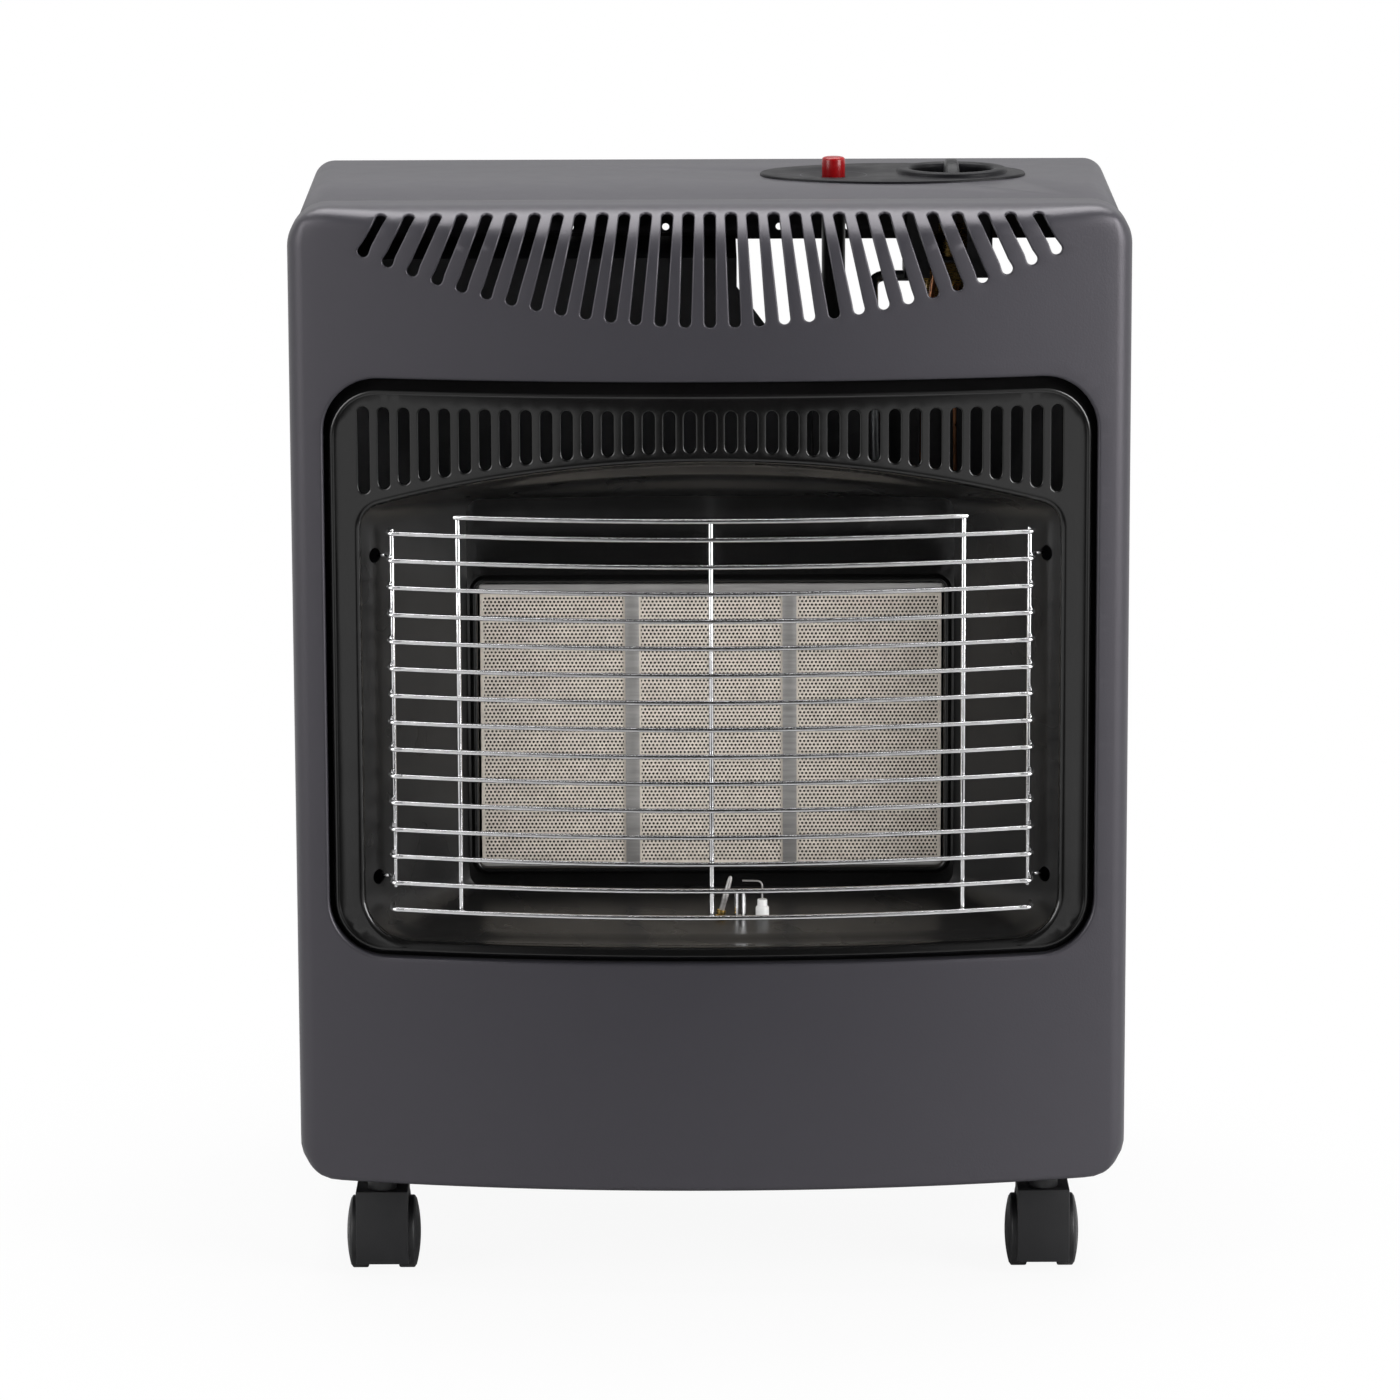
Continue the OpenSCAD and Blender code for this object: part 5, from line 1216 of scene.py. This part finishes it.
class HEATER_OT_pipes(bpy.types.Operator):
    """Make the gas pipe, the pilot pipe and the leads"""
    bl_idname = "heater.pipes"
    bl_label = "Pipes and leads"

    def execute(self, context):
        px, py, pz = PILOT_X, PILOT_Y, PILOT_Z
        # node, look, slot, radius, bend radius, sides and course
        routes = [
            ("gas_pipe", "zinc_plate", "zinc", 3.0, 8, 16,
             [(113.4, 168, 534), (90, 168, 534), (90, 138.5, 505), (98, 138.5, 155), (94, 138.5, 125),
              (94, 120.5, 125)]),
            ("pilot_pipe", "copper_pipe", "copper", 1.5, 4, 12,
             [(px, py, pz - 9.2), (px, py, pz - 18), (px, 131, 165), (100, 131, 165), (112, 132, 210),
              (118, 138, 500), (123.5, 142, 540), (123.5, 151.9, 540)]),
            ("thermocouple_lead", "copper_pipe", "copper", 1.1, 4, 10,
             [(px + PROBE_X, py, pz - 9.2), (px + PROBE_X, py, pz - 21), (22, 100, 156), (22, 131, 150), (32, 131, 120),
              (134, 131, 120), (138, 134, 200), (134, 137, 500), (137.5, 142, 530), (137.5, 151.9, 530)]),
            ("ignition_lead", "lead_rubber", "lead_black", 1.5, 5, 12,
             [(px + SPARK_X, py, pz - 18.2), (px + SPARK_X, py, 170), (60, 104, 170), (62, 134, 180), (62, 137, 220),
              (54.5, 137, 480), (56.5, 139, 508), (68.5, 154, 508), (68.5, 165.9, 508)]),
        ]
        for node, look, slot, r, turn, sides, route in routes:
            obj = bars(node + "_tube", [bent(route, turn, 6)], r, look, sides)
            deliver(obj, look, "cabinet", [node])
        return {"FINISHED"}


CONTROLS_Y, KNOB_X, BUTTON_X, PLATE_X = 168.0, 133.5, 68.5, 101.0
DISH, DISH_HOLE, DISH_DEEP = 26.5, 7.2, 2.7      # radii and depth of the dish round the button
PLATE_HALF, PLATE_WIDE, PLATE_END = 73, 44, 30   # half length, half width and end radius of the plate
PLATE_RIM = ((-1.0, 0), (-0.5, -0.13), (-0.15, -0.5), (0, -1.0), (0, -2.0), (-2.0, -2.0))
GRIP_SIDE = ((-0.5, 0), (-0.1, 0.45), (0.35, 0.82), (1.0, 0.955), (2.0, 1))    # inset and share of the grip's rise
KNOB_WELL = ((31.3, 0), (30.8, 0.1), (30.5, 0.5), (30.4, 1.2), (30.0, 2.0), (29.3, 2.4), (28.4, 2.5), (25.6, 2.5),
             (24.4, 2.4), (23.6, 1.9), (23.0, 1.0), (22.8, 0), (22.8, -15.1), (5.0, -15.1), (5.0, -17.1),
             (24.5, -17.1), (24.5, -2))          # section of the ring and the well of the knob


def lens_loop(more, n=24):
    """Outline of the control plate: two flat arcs and two round ends, about the plate's middle."""
    half, wide, r = PLATE_HALF - PLATE_END, PLATE_WIDE, PLATE_END
    big = (half * half + wide * wide - r * r) / (2 * (wide - r))
    drop = big - wide
    turn = math.degrees(math.atan2(drop, half))
    r, big = r + more, big + more
    loop = arc(half, 0, r, -turn, turn, n) + arc(0, -drop, big, turn, 180 - turn, 2 * n)[1:-1]
    return loop + arc(-half, 0, r, 180 - turn, 180 + turn, n) + arc(0, drop, big, 180 + turn, 360 - turn, 2 * n)[1:-1]


class HEATER_OT_controls(bpy.types.Operator):
    """Make the control plate, the knob and the ignition button"""
    bl_idname = "heater.controls"
    bl_label = "Controls"

    def execute(self, context):
        top = TOP_Z
        plate_z = top + 1.5

        def ring(x, r, z):
            return [at(a, CONTROLS_Y + b, z) for a, b in circle(x, 0, r, 72)]

        def on_plate(points, z):
            return [at(PLATE_X + x, CONTROLS_Y + y, plate_z + z) for x, y in points]

        skin = Skin()
        knob, button = KNOB_X - PLATE_X, BUTTON_X - PLATE_X
        # upper face and underside, then the rounded rim down to the top
        inner = grid(spread(-72, 72, 6), spread(-43, 43, 6))
        for more, z, well, dish, points, clear in ((-1.0, 0, 31.3, DISH, inner, 2.5), (-2.0, -2, 24.5, 17.9, [], 2)):
            holes = [circle(knob, 0, well, 72), circle(button, 0, dish, 72)]
            points, faces = fill(lens_loop(more), holes, points, clear)
            skin.sheet(on_plate(points, z), faces)
        skin.rows([on_plate(lens_loop(more), z) for more, z in PLATE_RIM])
        # dish round the button
        rows = []
        for k in range(9):
            r = DISH - (DISH - DISH_HOLE) * k / 8
            depth = DISH_DEEP * (1 - (r / DISH) ** 2) / (1 - (DISH_HOLE / DISH) ** 2)
            rows.append(ring(BUTTON_X, r, plate_z - depth))
        for r, z in ((6.7, plate_z - 3.0), (6.5, plate_z - 3.6), (6.5, top - 8), (9.4, top - 8), (9.4, top - 3),
                     (17.9, top - 3), (17.9, plate_z - 2)):
            rows.append(ring(BUTTON_X, r, z))
        skin.rows(rows)
        # raised ring and the well of the knob
        skin.rows([ring(KNOB_X, r, plate_z + z) for r, z in KNOB_WELL])
        skin.merge(2e-6)
        skin.outward()
        obj = settle(skin.object("control_plate_pressing"), 40)
        deliver(obj, "plate_plastic", "cabinet", ["control_plate"])
        # knob: shallow cap with a tall grip
        low, high, grip = top - 8, top - 2, top + 8.5
        knob_mid = at(KNOB_X, CONTROLS_Y, 0)
        cap = turned("knob_cap", [
            (0, low), (21.2, low), (22.0, low + 0.8), (22.0, high - 1.6), (21.7, high - 0.7), (20.8, high - 0.1),
            (19.8, high), (0, high)], knob_mid, 96)
        skin = Skin()
        rows = []
        n = 28
        reach = 20.5
        for i in range(n + 1):
            t = -1 + 2 * i / n
            y = reach * t
            rise = (grip - high + 0.8) * (1 - abs(t) ** 2.6 * 0.72)
            if abs(t) > 0.999:
                rise *= 0.75
            half = 4.0 * (1 - 0.10 * abs(t) ** 3)
            side = [(half - inset, high - 0.8 + rise * share) for inset, share in GRIP_SIDE]
            rows.append([at(KNOB_X + x, CONTROLS_Y + y, z) for x, z in [(-x, z) for x, z in side] + side[::-1]])
        made = skin.rows(rows)
        skin.cap(made[0])
        skin.cap(made[-1], True)
        skin.outward()
        bar = skin.object("knob_grip")
        hub = turned("knob_hub", [
            (3.05, low - 3), (4.3, low - 3), (4.5, low - 2.8), (4.5, low + 0.5), (3.05, low + 0.5), (3.05, low - 3)],
            knob_mid, 32)
        obj = soften(joined("gas_knob", [cap, bar, hub]), 0.0004, 35, 45, 3)
        deliver(obj, "knob_plastic", "knob", ["control_knob"])
        # ignition button
        obj = turned("ignition_button_cap", [
            (0, top - 24), (3.3, top - 24), (3.5, top - 23.8), (3.5, top - 10), (6.1, top - 10), (6.4, top - 9.7),
            (6.4, top + 8.2), (6.2, top + 9.1), (5.6, top + 9.7), (4.6, top + 9.95), (2.5, top + 10), (0, top + 10)],
            at(BUTTON_X, CONTROLS_Y, 0), 64)
        deliver(settle(obj, 45), "red_plastic", "button", ["ignition_button"])
        for node, body, look, slot in (
                ("gas_valve", "cabinet", "machined_brass", "brass"), ("valve_plug", "plug", "machined_brass", "brass"),
                ("valve_spindle", "knob", "steel_sheet", "steel"),
                ("inlet_connector", "cabinet", "machined_brass", "brass"),
                ("piezo_igniter", "cabinet", "castor_plastic", "piezo_black")):
            dress(node, body, look, 0.00025)
        return {"FINISHED"}


# Inner face of a wheel, from the axle out: radius, depth
WHEEL_FACE = [(0, 9.8), (3.12, 9.8), (3.12, 0.0), (5.4, 0.0), (5.8, 0.4), (6.0, 1.2), (15.5, 1.2), (16.0, 0.9),
              (16.4, 0.3), (17.0, 0.0)]


class HEATER_OT_castors(bpy.types.Operator):
    """Make the wheels, axles and hoods of the four castors"""
    bl_idname = "heater.castors"
    bl_label = "Castors"

    def execute(self, context):
        look = "castor_plastic"
        for spot in ("fl", "fr", "rl", "rr"):
            for side, sign in (("l", -1), ("r", 1)):
                low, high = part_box("castor_%s_wheel_%s" % (spot, side))
                mid = Vector([(a + b) / 2 for a, b in zip(low, high)])
                w = (high[0] - low[0]) / MM
                r = (high[2] - low[2]) / MM / 2
                centre = Vector((mid.x - sign * w / 2 * MM, mid.y, mid.z))
                # profile from the axle out along the inner face, the tread and the domed outer face
                tread = 9.0
                dome = []
                for k in range(9):
                    a = k / 8
                    rr = (r - 1.6) * (1 - a)
                    dome.append((rr, w - (w - tread - 0.6) * (rr / (r - 1.6)) ** 2.2))
                profile = WHEEL_FACE + [
                    (r - 0.9, 0.0), (r - 0.3, 0.2), (r, 0.9), (r, tread - 0.9), (r - 0.3, tread - 0.3),
                    (r - 0.9, tread), (r - 1.2, tread + 0.25)] + dome
                skin = Skin()
                skin.lathe([(max(a, 0.0001), b * sign) for a, b in profile], centre, "x", 72)
                skin.merge(3e-6)
                skin.outward()
                obj = settle(skin.object("castor_%s_tyre_%s" % (spot, side)), 40)
                deliver(obj, look, "wheel_%s_%s" % (spot, side), ["castor_%s_wheel_%s" % (spot, side)])
            dress("castor_%s_hood" % spot, "castor_%s" % spot, look, 0.0006, 35, segments=3)
            dress("castor_%s_axle" % spot, "castor_%s" % spot, "zinc_plate", 0.0003)
        # painted shade: the stems take the castors' black plastic so that they are as dark as the shade under the panel
        # where they stand
        dress("castor_stems", "cabinet", look, 0.0003)
        return {"FINISHED"}


class HEATER_OT_bracket(bpy.types.Operator):
    """Make the box that carries the gas valve under the top"""
    bl_idname = "heater.bracket"
    bl_label = "Valve bracket"

    def execute(self, context):
        half = context.scene.heater_panel.bracket / MM
        front, back, low, high = CONTROLS_Y - 26.6, CONTROLS_Y + 13.0, TOP_Z - 44, TOP_Z - 1.3
        skin = Skin()
        a, b = KNOB_X - 2.5 - half, KNOB_X - 2.5 + half
        hole = circle(KNOB_X, CONTROLS_Y, 11.2, 40)
        points, faces = fill([(a, front), (b, front), (b, back), (a, back)], [hole], [], 1)
        skin.sheet([at(x, y, low) for x, y in points], faces)
        skin.face_front((0, 0, 1))
        plate = skin.object("bracket_plate")
        thicken(plate, 0.0015)
        skin = Skin()
        for x, way in ((a, 1), (b, -1)):
            strip_bar(skin, x + way * 0.75, 1.5, low - 10, high, front, back)
            strip_bar(skin, x + way * 7, 14, low - 10, high, front, front + 1.5)
            strip_bar(skin, x - way * 4, 8, high - 1.5, high, front, back)
        skin.outward()
        obj = joined("valve_bracket_sheet", [settle(plate), skin.object("bracket_sides")])
        obj = soften(obj, 0.0003, 50, 40)
        deliver(obj, "shield_black", "cabinet", ["valve_bracket"])
        return {"FINISHED"}


class HEATER_OT_cabinet(bpy.types.Operator):
    """Dress the folded shell, tray, shield, rear cover and fittings"""
    bl_idname = "heater.cabinet"
    bl_label = "Cabinet"

    def execute(self, context):
        paint, zinc, dark = "satin_paint", "zinc_plate", "shield_black"
        s = context.scene.heater_panel
        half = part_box("cabinet_shell")[1][0]

        def wider(co):
            if abs(co.x) > 0.2:
                co.x += math.copysign(s.spread, co.x)

        def shorter(co):
            wider(co)
            front = FRONT_Y + s.flange + 0.0002
            if co.z > (TOP_Z - 40) * MM and co.y <= front:
                co.y = front
                u, v = abs(co.x) - half - s.spread + 0.012, co.z - TOP_Z * MM + 0.012
                if u > -0.001 and v > -0.001:
                    # the bend starts as round as the panel's corner
                    r, t = math.hypot(u, v) - 0.012 + s.top_corner, math.atan2(v, u)
                    co.x = math.copysign(PANEL_HALF * MM - 0.0015 - s.top_corner + r * math.cos(t), co.x)
                    co.z = TOP_Z * MM - s.top_corner + r * math.sin(t)

        def reach(co):
            if -0.19 < co.x < -0.15 and co.z > 0.495:
                co.x = -s.shield

        dress("cabinet_shell", "cabinet", paint, 0.00035, 40, move=shorter)
        dress("base_tray", "cabinet", paint, 0.00035, 40, move=wider)
        dress("rear_cover", "cover", paint, 0.00035, 40)
        dress("heat_shield", "cabinet", dark, 0.0003, 40, move=reach)
        dress("cabinet_screws", "cabinet", zinc, 0.0003, move=wider)
        dress("cover_studs", "cover", zinc, 0.0003)
        for node in ("burner_housing", "venturi_tubes", "gas_rail", "rail_straps"):
            dress(node, "cabinet", zinc, 0.0003)
        dress("injectors", "cabinet", "machined_brass", 0.0002)
        return {"FINISHED"}


# Lamps: name, place, point that they face, width, height and power
LAMPS = (("left", (-2.7, -1.7, 1.3), (0, 0, 0.3), 1.6, 2.0, 50),
         ("right", (2.7, -1.6, 1.2), (0, 0, 0.3), 1.6, 2.0, 108),
         ("top", (0, 0.5, 2.5), (0, 0, 0.3), 2.4, 1.8, 88),
         ("back", (0, 2.8, 1.5), (0, 0, 0.4), 3.0, 1.4, 8))
CAMERA_PLACE = (-0.006, -3.64605, 1.0162)
CAMERA_PITCH, CAMERA_ROLL = -11.26, -0.2         # degrees
FOCAL_PIXELS, FRAME_PIXELS, SENSOR = 6600, 1400, 36.0


def lamp(name, place, target, wide, high, power):
    light = bpy.data.lights.new(name, "AREA")
    light.shape = "RECTANGLE"
    light.size, light.size_y, light.energy = wide, high, power
    obj = linked(name, light)
    obj.location = place
    obj.rotation_euler = (Vector(target) - Vector(place)).to_track_quat("-Z", "Y").to_euler()


def to_sides(tree, place, start, end, low):
    """A level that is low in front of the heater and rises to both sides."""
    x = put(tree, "ShaderNodeSeparateXYZ", {0: place}).outputs["X"]
    return put(tree, "ShaderNodeMapRange", {
        "Value": maths(tree, "ABSOLUTE", x), "From Min": start, "From Max": end, "To Min": low, "To Max": 0.85},
        interpolation_type="SMOOTHSTEP").outputs["Result"]


class HEATER_OT_stage(bpy.types.Operator):
    """Make the floor, the soft light and the camera"""
    bl_idname = "heater.stage"
    bl_label = "Stage"

    def floor(self, scene):
        mesh = bpy.data.meshes.new("studio_floor")
        mesh.from_pydata([(-40, -40, 0), (40, -40, 0), (40, 40, 0), (-40, 40, 0)], [], [(0, 1, 2, 3)])
        mat = bpy.data.materials.new("floor_white")
        mat.use_nodes = True
        tree = mat.node_tree
        shade = tree.nodes["Principled BSDF"]
        for key, value in (("Base Color", (*scene.heater_finishes.floor, 1)), ("Roughness", 0.9),
                           ("Specular IOR Level", 0.0)):
            shade.inputs[key].default_value = value
        ray = put(tree, "ShaderNodeLightPath").outputs
        place = put(tree, "ShaderNodeTexCoord").outputs["Object"]
        far = put(tree, "ShaderNodeVectorMath", {0: place}, operation="LENGTH").outputs["Value"]
        # in gloss it is dim straight in front of the heater and white to both sides
        glow = put(tree, "ShaderNodeEmission", {"Color": to_sides(tree, place, 0.15, 0.80, 0.02)}).outputs[0]
        away = put(tree, "ShaderNodeMapRange", {"Value": far, "From Min": 0.45, "From Max": 0.8}).outputs["Result"]
        gloss = maths(tree, "MULTIPLY", away, ray["Is Glossy Ray"])
        mirrored = mixed(tree, gloss, shade.outputs[0], glow)
        # seen by the camera, it runs into the white background round the heater
        reach = put(tree, "ShaderNodeMapRange", {"Value": far, "From Min": 0.28, "From Max": 0.55, "To Min": 0.93},
                    interpolation_type="SMOOTHSTEP").outputs["Result"]
        seen = maths(tree, "MULTIPLY", reach, ray["Is Camera Ray"])
        white = put(tree, "ShaderNodeEmission").outputs[0]
        tree.links.new(mixed(tree, seen, mirrored, white), tree.nodes["Material Output"].inputs["Surface"])
        mesh.materials.append(mat)
        linked("studio_floor", mesh)

    def world(self, scene):
        world = bpy.data.worlds.new("studio")
        scene.world = world
        world.use_nodes = True
        tree = world.node_tree
        tree.nodes.clear()
        ray = put(tree, "ShaderNodeLightPath").outputs
        seen = maths(tree, "MAXIMUM", ray["Is Camera Ray"], ray["Is Transmission Ray"])
        # gloss sees white walls to both sides of a dim front
        walls = to_sides(tree, put(tree, "ShaderNodeTexCoord").outputs["Generated"], 0.12, 0.66, 0.0)
        total = maths(tree, "MAXIMUM", seen, maths(tree, "MULTIPLY", walls, ray["Is Glossy Ray"]))
        dim = put(tree, "ShaderNodeMapRange", {"Value": ray["Is Glossy Ray"], "To Min": 0.15, "To Max": 0.03})
        light, white = (put(tree, "ShaderNodeBackground", {"Color": (1, 1, 1, 1), "Strength": level}).outputs[0]
                        for level in (dim.outputs["Result"], 1.0))
        put(tree, "ShaderNodeOutputWorld", {"Surface": mixed(tree, total, light, white)})

    def execute(self, context):
        scene = context.scene
        scene.view_settings.view_transform = "Standard"
        self.floor(scene)
        self.world(scene)
        for values in LAMPS:
            lamp(*values)
        cam = bpy.data.cameras.new("camera")
        cam.sensor_width = SENSOR
        cam.lens = FOCAL_PIXELS / FRAME_PIXELS * SENSOR
        obj = linked("camera", cam)
        tilt = (Matrix.Rotation(math.radians(90 + CAMERA_PITCH), 4, "X")
                @ Matrix.Rotation(math.radians(CAMERA_ROLL), 4, "Z"))
        obj.matrix_world = Matrix.Translation(CAMERA_PLACE) @ tilt
        scene.camera = obj
        return {"FINISHED"}


OPERATORS = (HEATER_OT_front_panel, HEATER_OT_surround, HEATER_OT_firebox, HEATER_OT_burner, HEATER_OT_guard,
             HEATER_OT_pilot, HEATER_OT_pipes, HEATER_OT_controls, HEATER_OT_castors, HEATER_OT_bracket,
             HEATER_OT_cabinet, HEATER_OT_stage)
SIZES = {"heater_panel": HeaterPanelSizes, "heater_surround": HeaterSurroundSizes, "heater_burner": HeaterBurnerSizes,
         "heater_guard": HeaterGuardSizes, "heater_finishes": HeaterFinishes}


class HEATER_PT_sidebar(bpy.types.Panel):
    """Lists the heater's pieces"""
    bl_label = "Cabinet heater"
    bl_idname = "HEATER_PT_sidebar"
    bl_space_type = "VIEW_3D"
    bl_region_type = "UI"
    bl_category = "Heater"

    def draw(self, context):
        for operator in OPERATORS:
            self.layout.operator(operator.bl_idname)
        for name in SIZES:
            box = self.layout.box()
            values = getattr(context.scene, name)
            for key in values.bl_rna.properties.keys():
                if key not in ("rna_type", "name"):
                    box.prop(values, key)


CLASSES = (*SIZES.values(), *OPERATORS, HEATER_PT_sidebar)


def register():
    for cls in CLASSES:
        bpy.utils.register_class(cls)
    for name, group in SIZES.items():
        setattr(bpy.types.Scene, name, PointerProperty(type=group))


def unregister():
    for name in SIZES:
        delattr(bpy.types.Scene, name)
    for cls in reversed(CLASSES):
        bpy.utils.unregister_class(cls)


def main():
    register()
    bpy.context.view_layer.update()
    for operator in OPERATORS:
        group, name = operator.bl_idname.split(".")
        getattr(getattr(bpy.ops, group), name)()


if __name__ == "__main__":
    main()
